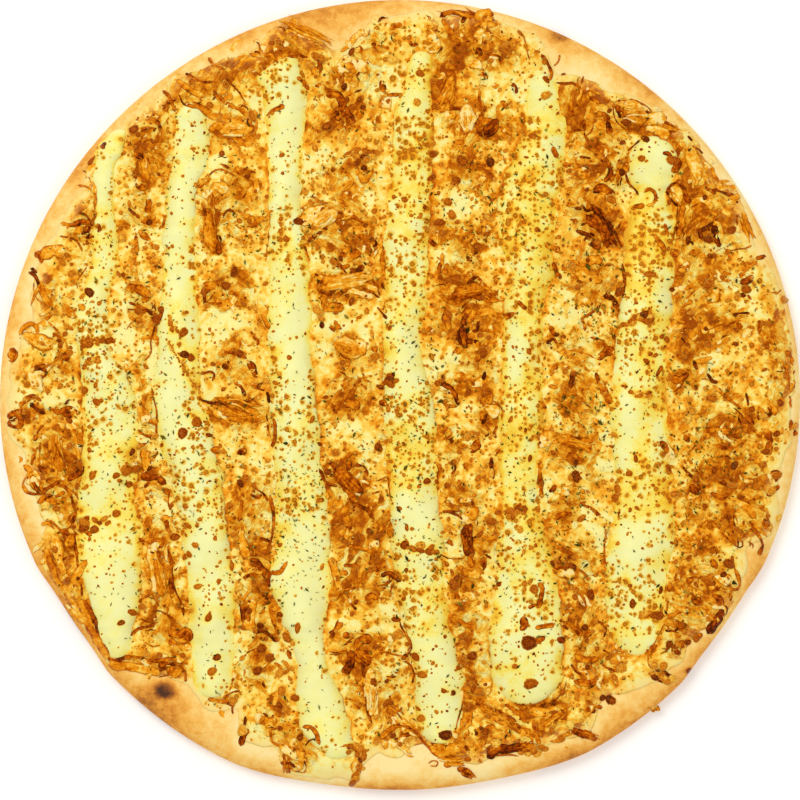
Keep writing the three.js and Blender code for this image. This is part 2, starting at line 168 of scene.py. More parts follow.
# Patches of shredded chicken: [across, down, half across, half down, tilt of the fibres in
# degrees, amount, how brown].
CHICKEN_PATCHES = [
    # between the rim and the first line
    [85, 228, 26, 26, 60, 0.8, 0.6], [38, 256, 11, 8, 0, 0.9, 0.8],
    [48, 292, 15, 20, 60, 0.8, 0.6], [13, 354, 10, 10, 0, 0.7, 0.8],
    [64, 365, 13, 17, 70, 0.7, 0.6], [15, 420, 15, 10, 0, 1.0, 0.9],
    [40, 409, 10, 7, 0, 0.9, 0.8], [62, 412, 14, 10, 20, 0.9, 0.8],
    [58, 452, 26, 30, 92, 1.0, 0.35], [35, 482, 12, 14, 90, 0.9, 0.75],
    [52, 490, 9, 10, 40, 0.9, 0.8], [76, 477, 10, 14, 90, 0.9, 0.85],
    [70, 500, 12, 17, 55, 0.9, 0.7], [66, 565, 20, 52, 105, 1.0, 0.5],
    [84, 626, 20, 36, 115, 1.0, 0.55], [145, 668, 40, 11, 0, 0.8, 0.4],
    [170, 668, 17, 14, 20, 1.0, 0.9], [182, 636, 14, 12, 0, 0.9, 0.65],
    [122, 665, 18, 10, 10, 0.8, 0.7], [100, 190, 22, 22, 50, 0.5, 0.5],
    # between the first and second lines
    [145, 158, 22, 36, 80, 0.9, 0.6], [142, 215, 18, 24, 85, 0.6, 0.6],
    [140, 300, 18, 24, 60, 0.7, 0.65], [155, 322, 11, 13, 90, 0.9, 0.8],
    [147, 470, 13, 20, 80, 1.0, 0.55], [160, 530, 18, 18, 30, 1.0, 0.85],
    [157, 575, 10, 28, 92, 1.0, 0.4], [170, 575, 10, 28, 92, 1.0, 0.85],
    [160, 620, 16, 24, 80, 0.9, 0.6], [148, 420, 10, 26, 85, 0.9, 0.5],
    [140, 370, 12, 18, 60, 0.6, 0.6],
    # between the second and third lines
    [215, 78, 38, 24, 25, 0.9, 0.6], [180, 95, 20, 16, 40, 0.9, 0.6],
    [238, 132, 25, 15, 5, 0.9, 0.4], [214, 232, 13, 30, 92, 1.0, 0.6],
    [240, 190, 22, 26, 60, 0.75, 0.6], [240, 290, 24, 26, 30, 0.75, 0.65],
    [222, 300, 14, 16, 70, 0.9, 0.55], [235, 410, 38, 17, -18, 1.0, 0.7],
    [228, 368, 26, 18, 20, 0.8, 0.75], [255, 495, 23, 22, 45, 1.0, 0.7],
    [254, 535, 24, 18, 30, 1.0, 0.6], [262, 600, 19, 42, 80, 1.0, 0.75],
    [265, 634, 13, 9, 0, 1.0, 1.0], [245, 450, 24, 20, 10, 0.6, 0.6],
    [262, 670, 18, 24, 70, 0.9, 0.7], [275, 715, 14, 22, 60, 0.7, 0.5],
    # between the third and fourth lines
    [345, 112, 18, 20, 70, 1.0, 0.85], [352, 80, 36, 40, 60, 0.7, 0.5],
    [366, 40, 26, 20, 30, 0.8, 0.55], [318, 220, 21, 18, -30, 0.9, 0.25],
    [352, 240, 28, 28, 55, 1.0, 0.7], [350, 285, 38, 18, -12, 1.0, 0.4],
    [350, 347, 20, 22, 45, 0.9, 0.45], [350, 400, 34, 30, 20, 0.8, 0.65],
    [340, 480, 24, 24, 30, 1.0, 0.85], [362, 520, 36, 34, 50, 0.9, 0.65],
    [360, 575, 36, 34, 70, 0.9, 0.55], [356, 655, 22, 18, 60, 1.0, 0.9],
    [372, 642, 18, 15, 20, 1.0, 0.7], [364, 692, 16, 34, 86, 0.9, 0.4],
    [390, 700, 14, 28, 60, 0.8, 0.45], [435, 744, 36, 24, -25, 0.9, 0.6],
    [400, 735, 20, 12, -20, 0.8, 0.6], [352, 180, 34, 22, 10, 0.8, 0.6],
    # between the fourth and fifth lines
    [470, 42, 50, 36, 15, 0.85, 0.42], [442, 98, 16, 25, 65, 1.0, 0.5],
    [478, 128, 26, 24, 45, 1.0, 0.85], [470, 180, 30, 30, 40, 0.6, 0.6],
    [470, 312, 34, 42, 60, 1.0, 0.85], [450, 285, 16, 16, 30, 1.0, 0.8],
    [482, 375, 18, 26, 70, 0.9, 0.6], [487, 420, 14, 26, 80, 0.9, 0.65],
    [462, 240, 28, 26, 20, 0.7, 0.65], [455, 440, 16, 30, 80, 0.6, 0.6],
    [482, 542, 20, 24, 75, 1.0, 0.9], [466, 500, 20, 20, 30, 0.9, 0.65],
    [466, 580, 20, 22, 60, 0.8, 0.65], [470, 640, 22, 32, 75, 0.9, 0.6],
    [478, 690, 16, 20, 60, 0.9, 0.8],
    # between the fifth and sixth lines
    [580, 108, 26, 32, -55, 1.0, 0.55], [594, 170, 30, 32, 40, 0.8, 0.6],
    [600, 228, 24, 22, 30, 1.0, 0.95], [580, 205, 20, 18, 60, 1.0, 0.8],
    [585, 285, 26, 26, 20, 0.6, 0.55], [590, 350, 26, 34, 60, 0.6, 0.6],
    [572, 450, 30, 22, 0, 0.8, 0.45], [575, 395, 26, 22, 20, 0.7, 0.5],
    [575, 510, 26, 26, 40, 0.55, 0.5], [578, 565, 24, 20, 10, 0.55, 0.5],
    [582, 615, 22, 28, 70, 0.65, 0.45], [588, 668, 22, 24, 60, 0.9, 0.55],
    # right of the sixth line
    [634, 114, 28, 20, 10, 1.0, 0.45], [658, 130, 18, 13, 20, 0.9, 0.5],
    [672, 162, 11, 12, 0, 1.0, 1.0], [697, 166, 26, 28, 45, 0.9, 0.4],
    [697, 228, 27, 30, 55, 1.0, 0.7], [715, 196, 32, 9, 5, 1.0, 0.9],
    [740, 228, 14, 22, 65, 0.9, 0.5], [762, 262, 16, 13, -30, 0.9, 0.85],
    [712, 285, 44, 24, -30, 0.6, 0.5], [735, 330, 40, 18, -25, 0.6, 0.5],
    [777, 370, 13, 40, 85, 1.0, 0.7], [772, 320, 14, 24, 80, 0.7, 0.6], [690, 345, 26, 20, 30, 0.5, 0.5],
    [688, 378, 22, 16, 10, 0.8, 0.6], [728, 430, 46, 30, -35, 0.85, 0.6],
    [738, 472, 36, 26, -50, 0.9, 0.6], [745, 520, 24, 30, 75, 0.8, 0.65],
    [705, 500, 26, 34, 60, 0.7, 0.6], [700, 560, 30, 26, 40, 0.8, 0.6],
    [703, 612, 40, 46, -50, 0.9, 0.5], [722, 612, 12, 26, 70, 1.0, 0.95],
    [682, 640, 18, 18, 30, 0.9, 0.6],
    # near edge
    [302, 750, 20, 28, -75, 0.9, 0.4], [538, 705, 34, 15, -20, 0.85, 0.42],
    [548, 700, 24, 16, 30, 0.9, 0.5], [600, 700, 22, 12, 5, 0.9, 0.7],
    # far edge
    [303, 38, 34, 18, -35, 0.8, 0.34], [250, 62, 30, 16, 20, 0.9, 0.55],
    [150, 120, 24, 22, 45, 0.8, 0.6],
]
BASE_CHICKEN = 0.22
BASE_BROWN = 0.5
BURNT_FROM, BURNT_SLOPE = 0.76, 1.0  # how fast the brownest patches turn to burnt

# Smooth pale places on the lines: [across, down, half across, half down].
PALE_ON_LINES = [
    [115, 610, 26, 52], [100, 190, 12, 22], [178, 250, 10, 60], [172, 400, 14, 50],
    [205, 560, 18, 30], [212, 655, 24, 50], [292, 120, 14, 50], [296, 330, 12, 60],
    [304, 600, 24, 70], [318, 710, 26, 40], [412, 100, 16, 20], [408, 360, 16, 40],
    [420, 520, 18, 50], [440, 700, 24, 60], [540, 100, 20, 20], [516, 350, 10, 34],
    [530, 690, 26, 14], [652, 160, 18, 22],
    [628, 420, 12, 40], [632, 545, 16, 30], [636, 645, 20, 14],
]

# Bare melted cheese, in the same terms.
PALE_CHEESE = [
    [335, 770, 30, 26], [270, 700, 20, 14], [400, 770, 40, 20], [355, 430, 18, 14],
    [562, 322, 16, 26], [455, 205, 16, 22], [240, 262, 14, 14], [350, 622, 22, 12],
    [215, 165, 12, 12], [665, 295, 14, 22], [502, 724, 20, 12], [232, 330, 16, 10], [640, 668, 18, 10],
]

# Oily golden stretches where sauce has soaked the cheese.
OILY_PLACES = [
    [66, 590, 24, 80], [145, 668, 46, 16], [58, 455, 34, 44], [700, 612, 46, 56],
    [702, 180, 36, 60], [520, 712, 56, 34], [150, 560, 16, 60], [470, 50, 60, 40],
    [585, 110, 34, 44], [350, 285, 44, 22], [728, 440, 56, 60], [302, 745, 26, 40],
    [590, 670, 40, 40], [303, 40, 44, 26], [215, 80, 50, 36], [470, 310, 46, 52],
    [530, 190, 44, 90], [425, 140, 30, 90], [440, 745, 44, 26], [600, 225, 40, 40],
    [525, 300, 34, 60], [525, 420, 36, 60], [545, 540, 30, 60], [655, 260, 30, 60],
    [655, 360, 36, 60], [410, 440, 30, 50], [430, 590, 26, 40], [645, 480, 40, 40],
    [56, 570, 34, 70], [92, 648, 34, 36], [778, 350, 22, 80],
]

# Dried oregano: [across, down, half across, half down, amount].
HERB_PLACES = [
    [573, 523, 17, 14, 1.0], [598, 468, 15, 16, 1.0], [700, 452, 20, 22, 1.0],
    [682, 530, 12, 14, 1.0], [600, 420, 110, 150, 0.5], [570, 415, 40, 22, 1.0], [530, 488, 10, 12, 1.0],
    [705, 450, 50, 70, 0.6], [580, 500, 34, 60, 0.6], [302, 520, 26, 110, 0.55],
    [572, 528, 18, 24, 1.0], [712, 455, 18, 26, 0.9], [680, 535, 14, 20, 1.0],
    [302, 492, 10, 12, 0.9], [330, 166, 12, 9, 0.9], [552, 277, 14, 12, 1.0],
    [600, 300, 60, 50, 0.7], [500, 200, 80, 70, 0.5], [330, 450, 60, 90, 0.45],
    [420, 420, 50, 120, 0.55], [180, 420, 90, 60, 0.5], [250, 230, 60, 60, 0.4],
    [330, 260, 50, 70, 0.45], [120, 360, 60, 90, 0.4], [540, 560, 70, 60, 0.5],
    [660, 600, 60, 50, 0.5], [260, 570, 50, 80, 0.4], [420, 600, 60, 70, 0.4],
]
HERB_BASE = 0.16

# Browned bars lying on the lines: [start], [end], width.
BROWNED_BARS = [
    [[83, 343], [111, 341], 8], [[85, 364], [103, 358], 8], [[84, 526], [108, 522], 11],
    [[625, 324], [651, 317], 9], [[406, 546], [436, 550], 9], [[511, 509], [522, 508], 9],
    [[347, 744], [358, 744], 8], [[360, 746], [361, 765], 8], [[358, 765], [354, 780], 8],
    [[352, 156], [379, 153], 8], [[642, 614], [661, 614], 9], [[384, 380], [393, 380], 9],
    [[648, 707], [657, 708], 6], [[605, 697], [613, 699], 8], [[650, 674], [673, 680], 8],
    [[168, 340], [200, 392], 3], [[545, 748], [520, 752], 9], [[172, 318], [176, 332], 6],
    [[552, 562], [574, 567], 7], [[628, 392], [650, 396], 5], [[764, 516], [769, 530], 5],
]

# Larger browned dots read one by one: [across, down, diameter].
NAMED_DOTS = [
    [94, 475, 7], [128, 470, 10], [118, 475, 6], [130, 484, 6], [118, 513, 7], [134, 611, 7],
    [218, 656, 7], [213, 670, 8], [210, 616, 7], [422, 673, 8], [415, 655, 8], [421, 717, 7],
    [445, 733, 10], [528, 641, 13], [530, 682, 11], [575, 476, 9], [533, 588, 8],
    [590, 594, 8], [707, 285, 8], [744, 290, 8], [783, 300, 8], [794, 426, 7],
    [775, 475, 8], [770, 490, 8], [778, 518, 7], [727, 563, 9], [668, 643, 6],
    [676, 642, 6], [686, 641, 6], [695, 637, 7], [662, 665, 8], [485, 730, 7],
    [490, 712, 7], [550, 729, 7], [560, 737, 7], [621, 667, 8], [688, 670, 5],
    [262, 648, 8], [258, 670, 8], [270, 657, 8], [280, 673, 7], [282, 690, 8],
    [287, 708, 7], [375, 357, 8], [454, 584, 10], [472, 655, 8], [478, 690, 9],
    [483, 353, 8], [491, 521, 8], [157, 320, 8], [58, 508, 6], [47, 505, 8],
    [243, 729, 9], [393, 61, 9], [420, 75, 7], [417, 104, 7], [462, 162, 10],
    [532, 137, 7], [545, 97, 8], [433, 155, 7], [456, 181, 7], [490, 163, 8],
    [670, 162, 9], [640, 160, 6], [185, 333, 8], [186, 355, 8], [198, 422, 9],
    [184, 433, 9], [127, 469, 9], [98, 402, 7], [299, 222, 8], [287, 240, 6],
]

# Shreds, sheets and burnt lines that stand out one by one, as [tone, width, then across, down
# of each point they run through]. Tone goes from 0, pale, to 1, burnt black.
STROKES = [
    # between the rim and the first line
    [0.8, 5, 98, 137, 100, 147, 106, 150], [0.8, 4, 87, 150, 90, 165],
    [0.9, 1.6, 80, 169, 88, 173, 92, 182], [0.68, 3, 80, 186, 94, 190, 98, 200, 97, 210],
    [0.88, 2.5, 82, 213, 88, 216, 94, 226], [0.75, 5, 100, 226, 102, 231],
    [0.72, 4, 64, 224, 75, 226, 84, 222, 93, 224], [0.75, 2.5, 62, 237, 72, 239, 80, 243, 84, 252],
    [0.66, 6, 28, 253, 36, 252, 44, 256, 43, 262], [0.98, 2.5, 25, 266, 32, 268, 38, 273],
    [0.97, 3, 24, 271, 32, 273, 38, 277, 42, 288], [0.3, 12, 45, 255, 55, 250, 66, 254],
    [0.66, 1.4, 36, 283, 35, 292, 38, 300, 46, 304, 52, 308], [0.4, 8, 42, 285, 46, 298, 54, 308],
    [0.7, 3, 52, 308, 53, 316, 48, 320], [0.65, 2, 50, 322, 58, 330, 62, 336],
    [0.6, 7, 66, 305, 70, 311, 75, 317], [0.55, 6, 83, 306, 85, 310], [0.7, 6, 68, 327, 73, 330],
    [0.6, 4, 22, 335, 25, 328, 33, 323, 38, 328, 40, 334], [0.34, 14, 28, 336, 40, 342, 52, 344],
    [0.74, 5, 5, 352, 12, 347, 18, 354, 16, 361, 6, 360], [0.6, 9, 10, 352, 13, 356],
    [0.76, 6, 56, 334, 62, 342, 65, 348], [0.8, 8, 64, 354, 70, 358],
    [0.92, 5, 38, 370, 44, 368, 48, 374, 42, 378], [0.95, 1.2, 36, 372, 42, 366, 47, 364],
    [0.7, 1.2, 88, 268, 82, 275, 79, 280], [0.85, 3, 85, 340, 83, 350],
    [0.78, 6, 3, 418, 10, 414, 18, 413, 26, 420, 24, 427, 12, 427, 4, 421],
    [0.7, 5, 22, 405, 30, 398, 38, 396], [0.85, 4.5, 33, 404, 38, 409, 46, 413],
    [0.75, 2, 30, 412, 32, 422], [0.85, 4, 45, 425, 40, 433, 36, 440],
    [0.75, 5, 52, 408, 58, 414, 66, 410, 74, 408, 80, 414], [0.72, 8, 66, 414, 73, 413],
    [0.05, 7, 70, 424, 76, 428], [0.75, 1.4, 42, 442, 42, 456, 40, 466],
    [0.42, 5, 52, 440, 55, 458, 58, 476], [0.32, 4, 62, 440, 64, 456, 62, 474],
    [0.45, 5, 74, 428, 78, 445, 82, 460], [0.66, 1.6, 83, 425, 84, 445, 82, 462],
    [0.82, 5, 40, 465, 44, 470, 49, 472], [0.7, 1.6, 24, 484, 27, 477, 34, 471],
    [0.76, 4.5, 24, 485, 27, 491, 35, 494, 43, 494], [0.06, 8, 30, 482, 36, 478, 40, 484],
    [0.85, 5, 44, 494, 50, 488, 57, 484, 61, 480], [0.86, 6, 70, 479, 76, 475, 84, 468],
    [0.76, 2.2, 61, 483, 68, 488, 72, 496, 76, 506, 77, 514], [0.7, 2, 64, 484, 74, 490, 80, 500],
    [0.6, 6, 44, 500, 47, 508], [0.86, 3, 76, 515, 73, 524, 70, 530],
    [0.78, 5, 90, 516, 84, 524, 86, 530, 92, 534], [0.55, 4, 44, 524, 50, 522, 56, 528],
    [0.7, 6, 64, 530, 72, 532], [0.82, 2.5, 77, 532, 77, 545, 81, 570, 84, 585, 84, 596],
    [0.92, 2.2, 62, 561, 69, 557, 76, 555], [0.88, 2, 70, 557, 66, 566, 64, 572],
    [0.8, 5, 60, 597, 66, 593, 68, 599], [0.55, 8, 80, 598, 90, 616, 97, 636, 101, 652],
    [0.85, 4.5, 84, 596, 90, 608, 98, 618, 99, 634, 102, 648, 107, 656],
    [0.78, 3.5, 104, 657, 115, 660, 128, 656, 136, 652, 142, 657, 155, 660, 170, 657, 182, 659],
    [0.4, 9, 108, 664, 125, 664, 145, 667, 160, 672], [0.92, 5, 160, 664, 168, 662, 176, 664],
    [0.85, 1.6, 160, 676, 170, 673, 180, 676], [0.85, 1.6, 158, 670, 166, 668, 176, 670],
    [0.8, 2.5, 182, 664, 186, 672, 187, 680],
    [0.42, 9, 57, 535, 60, 552, 66, 572], [0.4, 8, 66, 585, 76, 605, 84, 622],
    [0.46, 7, 88, 560, 70, 590], [0.44, 8, 74, 536, 70, 545], [0.4, 7, 92, 655, 100, 664],
    [0.5, 6, 48, 548, 56, 574, 62, 596], [0.56, 3, 60, 600, 70, 620, 80, 636],
    [0.48, 6, 84, 606, 90, 628, 96, 648], [0.62, 2.5, 52, 520, 64, 530, 72, 548],
    # along the far left of the rim
    [0.72, 3, 206, 57, 214, 66, 224, 70], [0.55, 5, 178, 80, 190, 92, 205, 98],
    [0.78, 2.5, 186, 74, 200, 84, 216, 84], [0.6, 6, 215, 96, 232, 108, 248, 112, 252, 128],
    [0.82, 2, 180, 96, 184, 106, 196, 110], [0.5, 7, 196, 104, 214, 118, 236, 122],
    [0.86, 2, 228, 80, 238, 92, 246, 104], [0.66, 4, 164, 92, 172, 100, 176, 112],
    # between the first and second lines
    [0.8, 4, 158, 122, 161, 127, 161, 132], [0.85, 1.6, 143, 133, 150, 130, 158, 130],
    [0.75, 2, 143, 143, 150, 141, 157, 147], [0.85, 6, 137, 155, 143, 158, 149, 162],
    [0.5, 3, 148, 153, 155, 160, 158, 172], [0.45, 2.5, 150, 165, 152, 175, 156, 182],
    [0.97, 4, 132, 173, 137, 180], [0.8, 7, 138, 186, 146, 190], [0.8, 6, 150, 201, 148, 212],
    [0.85, 3, 130, 210, 140, 218], [0.55, 6, 143, 222, 152, 222, 157, 227],
    [0.72, 2.5, 166, 216, 163, 228], [0.6, 5, 140, 232, 150, 240],
    [0.6, 3.5, 137, 236, 138, 248, 136, 262], [0.7, 4, 146, 244, 152, 243, 156, 249],
    [0.65, 5, 157, 260, 157, 270], [0.6, 8, 127, 292, 134, 288, 142, 290, 150, 296],
    [0.85, 3.5, 130, 303, 138, 306, 146, 310, 154, 315, 161, 318],
    [0.75, 2, 128, 310, 138, 310, 148, 314], [0.85, 6, 162, 308, 162, 316, 158, 325],
    [0.75, 1.6, 156, 325, 153, 335, 150, 342, 153, 350, 150, 358, 144, 361],
    [0.6, 1.4, 128, 330, 133, 322, 140, 320, 148, 322], [0.6, 6, 157, 337, 158, 345],
    [0.85, 2, 152, 388, 156, 402, 159, 416, 158, 428, 157, 440],
    [0.85, 4, 140, 430, 148, 436, 156, 438], [0.75, 6, 141, 445, 147, 444],
    [0.42, 9, 145, 450, 148, 470], [0.85, 3.5, 158, 452, 153, 460],
    [0.82, 7, 143, 475, 150, 478, 158, 476, 166, 482], [0.98, 3, 146, 486, 149, 482],
    [0.8, 2.5, 163, 490, 168, 488, 171, 494, 169, 502, 172, 510],
    [0.78, 5, 141, 538, 147, 543, 153, 541, 160, 538, 166, 542, 160, 547],
    [0.82, 4, 166, 520, 168, 530, 173, 536], [0.2, 9, 151, 546, 153, 560, 155, 575, 157, 590],
    [0.85, 2, 158, 550, 160, 558, 165, 565, 170, 568],
    [0.85, 2.4, 167, 545, 172, 556, 173, 570, 174, 585, 178, 595, 184, 605, 185, 615],
    [0.9, 3, 171, 578, 173, 592], [0.75, 2, 140, 600, 146, 596, 152, 592],
    [0.9, 2, 152, 611, 160, 610, 168, 614, 176, 620], [0.9, 1.6, 142, 618, 150, 622, 158, 619],
    [0.82, 3.5, 133, 634, 138, 628, 148, 626, 158, 622], [0.7, 1.4, 146, 630, 152, 628, 160, 631],
    [0.66, 1.4, 146, 640, 154, 646, 160, 644], [0.72, 8, 171, 632, 180, 634, 188, 630, 190, 638],
    [0.74, 7, 171, 640, 177, 644],
    # between the second and third lines
    [0.7, 1.4, 195, 190, 202, 184, 208, 180, 212, 173, 218, 168, 224, 170, 232, 175, 237, 179],
    [0.05, 12, 206, 196, 216, 186, 226, 190], [0.88, 2.5, 203, 204, 207, 212, 208, 222, 212, 228],
    [0.92, 4.5, 212, 228, 216, 236, 220, 246, 219, 255],
    [0.8, 1.6, 211, 186, 213, 195, 216, 208, 218, 216, 217, 226], [0.8, 3, 222, 165, 229, 168],
    [0.6, 4, 237, 168, 240, 176], [0.45, 9, 212, 130, 222, 126, 232, 130, 236, 136],
    [0.58, 5, 255, 112, 258, 125, 255, 136, 248, 140], [0.5, 6, 235, 140, 245, 144, 252, 143],
    [0.92, 3, 240, 107, 247, 108, 250, 115, 248, 122, 246, 130],
    [0.85, 1.6, 244, 120, 240, 128, 246, 131], [0.7, 4, 190, 106, 197, 109],
    [0.6, 1.6, 225, 100, 222, 106, 220, 116], [0.7, 4, 211, 176, 205, 183, 199, 188],
    [0.75, 8, 231, 294, 238, 295], [0.6, 3, 205, 302, 215, 304, 226, 302],
    [0.8, 4, 205, 294, 206, 305], [0.55, 8, 205, 287, 215, 287],
    [0.65, 5, 262, 315, 266, 322, 269, 328], [0.55, 3, 274, 212, 269, 213, 268, 222, 266, 232],
    [0.66, 1.2, 269, 232, 268, 245, 266, 262], [0.85, 2.5, 254, 337, 259, 341, 257, 345],
    [0.7, 4, 218, 354, 228, 352, 238, 354, 247, 358], [0.88, 4, 203, 374, 210, 371, 217, 375, 214, 381],
    [0.9, 6, 250, 362, 253, 368, 257, 376], [0.82, 4, 236, 382, 242, 388, 246, 396],
    [0.75, 2, 252, 384, 258, 389, 264, 390],
    [0.85, 3, 200, 398, 208, 404, 218, 404, 226, 403, 232, 408, 236, 416, 234, 422, 228, 420],
    [0.45, 2.5, 215, 398, 228, 401, 240, 406, 252, 412, 262, 414],
    [0.5, 2, 220, 398, 236, 399, 250, 405, 264, 405], [0.6, 3, 236, 414, 248, 418, 262, 420],
    [0.3, 10, 216, 412, 224, 415, 230, 420], [0.98, 3.5, 268, 392, 270, 402],
    [0.85, 1.6, 268, 414, 268, 428, 271, 438], [0.7, 3.5, 274, 418, 276, 434, 272, 446],
    [0.9, 7, 239, 453, 245, 450], [0.66, 8, 214, 450, 220, 451], [0.85, 2, 238, 480, 240, 490],
    [0.88, 2.5, 252, 485, 258, 490, 264, 492, 268, 500], [0.85, 3, 252, 495, 258, 498, 262, 494],
    [0.8, 3.5, 270, 495, 272, 505, 274, 516, 274, 532, 270, 550, 266, 554],
    [0.75, 4, 242, 500, 241, 512, 240, 520], [0.88, 4, 262, 538, 268, 540, 273, 542],
    [0.32, 11, 240, 530, 244, 545, 247, 555], [0.66, 1.6, 251, 546, 255, 547, 255, 555, 250, 554],
    [0.85, 8, 250, 562, 258, 562, 264, 570, 270, 576], [0.92, 4, 269, 578, 271, 586],
    [0.7, 4, 244, 578, 252, 574, 260, 575], [0.7, 4.5, 272, 572, 280, 572, 285, 566, 287, 562],
    [0.72, 7, 243, 602, 245, 612, 246, 622], [0.3, 7, 253, 600, 253, 615, 251, 628],
    [0.6, 7, 262, 603, 270, 600], [0.65, 4, 272, 610, 275, 622, 279, 634],
    [0.97, 3.5, 256, 632, 264, 630, 270, 634, 276, 640], [0.95, 1.8, 248, 652, 254, 648, 260, 646],
    [0.8, 8, 259, 648, 264, 647], [0.82, 6, 285, 635, 290, 640], [0.78, 7, 288, 650, 290, 656],
    # between the third and fourth lines
    [0.9, 4.5, 318, 60, 320, 66, 319, 72], [0.55, 6, 308, 62, 314, 70, 318, 76],
    [0.8, 4, 265, 57, 272, 55, 276, 62], [0.75, 3, 290, 58, 300, 57, 308, 59],
    [0.7, 5, 299, 80, 304, 84, 308, 90], [0.62, 4, 268, 116, 274, 112, 284, 108],
    [0.82, 8, 329, 97, 337, 95, 344, 103, 341, 110], [0.9, 4, 345, 105, 350, 115, 357, 126],
    [1.0, 6, 336, 112, 337, 118, 340, 121], [0.85, 3, 342, 112, 347, 120, 352, 128],
    [0.75, 5, 340, 130, 350, 126, 360, 128], [0.55, 7, 347, 66, 355, 72], [0.6, 4, 343, 76, 342, 86],
    [0.4, 5, 342, 52, 350, 46, 358, 36, 363, 32], [0.98, 4, 373, 45, 377, 51],
    [0.75, 3, 378, 48, 388, 50], [0.65, 5, 391, 31, 401, 27], [0.97, 3, 409, 43, 412, 47, 417, 47],
    [0.75, 6, 382, 82, 383, 92], [0.8, 4, 388, 97, 398, 96], [0.8, 7, 347, 155, 356, 153, 365, 156],
    [1.0, 5, 320, 233, 314, 238, 308, 243], [0.85, 1.6, 304, 244, 307, 252, 310, 262],
    [0.16, 15, 304, 222, 314, 215, 326, 212], [0.6, 1.4, 300, 210, 307, 205, 318, 202, 328, 204],
    [0.65, 3.5, 345, 218, 352, 216, 360, 221, 368, 224, 374, 222], [0.34, 11, 350, 231, 366, 230],
    [0.95, 3, 366, 236, 373, 239, 377, 244, 374, 248], [0.65, 4, 383, 250, 382, 262, 383, 276],
    [0.7, 6, 334, 262, 342, 268, 348, 266], [0.84, 6, 352, 270, 358, 272, 362, 266],
    [0.42, 6, 316, 276, 328, 280, 342, 278, 356, 280, 368, 285, 378, 291],
    [0.85, 3, 316, 274, 322, 278, 318, 284], [0.9, 2, 362, 272, 370, 278, 376, 286, 380, 296],
    [0.9, 2.5, 355, 284, 363, 288, 372, 292, 379, 298], [0.9, 1.8, 360, 280, 368, 283, 375, 290],
    [0.85, 2.5, 318, 290, 324, 294, 332, 295], [0.7, 4, 340, 293, 348, 289],
    [0.08, 6, 350, 290, 362, 295, 372, 297], [0.6, 8, 325, 310, 334, 307, 342, 309],
    [0.9, 4, 322, 322, 323, 328], [0.28, 18, 340, 345, 352, 352, 362, 346],
    [0.92, 6, 374, 346, 377, 356], [0.97, 2.5, 378, 308, 383, 313, 387, 319],
    [0.85, 5, 330, 463, 335, 466, 334, 472], [0.85, 4, 344, 460, 350, 464, 348, 470],
    [0.88, 4, 320, 470, 324, 478, 328, 484, 336, 486], [0.76, 6, 338, 473, 343, 480],
    [0.76, 8, 343, 484, 350, 492, 354, 500], [0.72, 4, 356, 464, 364, 466, 367, 474],
    [0.12, 3, 338, 468, 350, 476], [0.1, 3, 362, 480, 370, 484, 376, 488],
    [0.78, 3.5, 350, 500, 360, 505, 368, 510, 374, 520], [0.8, 2, 372, 493, 380, 491],
    [0.8, 1.4, 376, 480, 384, 478, 388, 474, 388, 484, 390, 494, 392, 502],
    [0.8, 5, 383, 384, 388, 378, 393, 374], [0.8, 5, 380, 401, 386, 404], [0.82, 4, 316, 402, 328, 397],
    [0.65, 3.5, 338, 548, 346, 544, 356, 546, 366, 549, 376, 552], [0.3, 10, 332, 560, 336, 575, 340, 588],
    [0.78, 3, 344, 565, 354, 564, 362, 566], [0.65, 7, 342, 572, 346, 573],
    [0.62, 3, 340, 590, 352, 588, 362, 584], [0.68, 8, 374, 568, 379, 567],
    [0.9, 4, 382, 575, 388, 572, 394, 576, 400, 580], [0.88, 1.6, 388, 580, 384, 584],
    [0.75, 3, 392, 584, 390, 596], [0.72, 6, 366, 599, 372, 594, 376, 597], [0.95, 3, 351, 603, 356, 608],
    [0.72, 8, 330, 635, 336, 628, 341, 622], [0.75, 7, 345, 634, 349, 635],
    [0.82, 2, 400, 618, 402, 628, 408, 636, 412, 644, 410, 650, 406, 655],
    [0.95, 4, 402, 657, 407, 654], [0.8, 1.8, 404, 660, 410, 664, 414, 672, 412, 682],
    [0.92, 7, 348, 650, 352, 656, 350, 664, 345, 672], [0.66, 8, 356, 645, 362, 640, 370, 638],
    [0.66, 7, 362, 650, 372, 655, 378, 650], [0.6, 1.6, 378, 650, 390, 652, 404, 655],
    [0.88, 3.2, 362, 660, 363, 672, 365, 684, 367, 700, 367, 714, 372, 722],
    [0.75, 2, 354, 665, 356, 680, 362, 686], [0.14, 8, 370, 668, 371, 685, 374, 702, 376, 714],
    # between the fourth and fifth lines
    [0.78, 6, 441, 18, 450, 11, 462, 7, 475, 9, 488, 12, 495, 15], [0.92, 5, 461, 24, 466, 17, 470, 11],
    [0.6, 7, 443, 22, 448, 30, 452, 36], [0.28, 9, 494, 16, 484, 24, 478, 36, 478, 46],
    [0.4, 2, 496, 18, 499, 30, 497, 44], [0.9, 5, 477, 51, 480, 56],
    [0.93, 2.5, 485, 53, 490, 57, 497, 58, 502, 60],
    [0.8, 2, 503, 57, 501, 65], [1.0, 6, 512, 86, 514, 90, 516, 93], [0.75, 5, 448, 76, 452, 72, 455, 78],
    [0.5, 5, 453, 78, 446, 90, 440, 100, 433, 110], [0.75, 1.4, 446, 76, 441, 90, 437, 100],
    [0.85, 4, 445, 103, 452, 111, 459, 110, 466, 107, 471, 112, 474, 122, 478, 132, 483, 140],
    [0.72, 6, 480, 124, 488, 122, 496, 126, 493, 134, 484, 138], [0.62, 7, 500, 106, 508, 104],
    [0.7, 4, 480, 93, 479, 98, 481, 108], [0.6, 6, 493, 88, 497, 87], [0.55, 6, 455, 143, 463, 143],
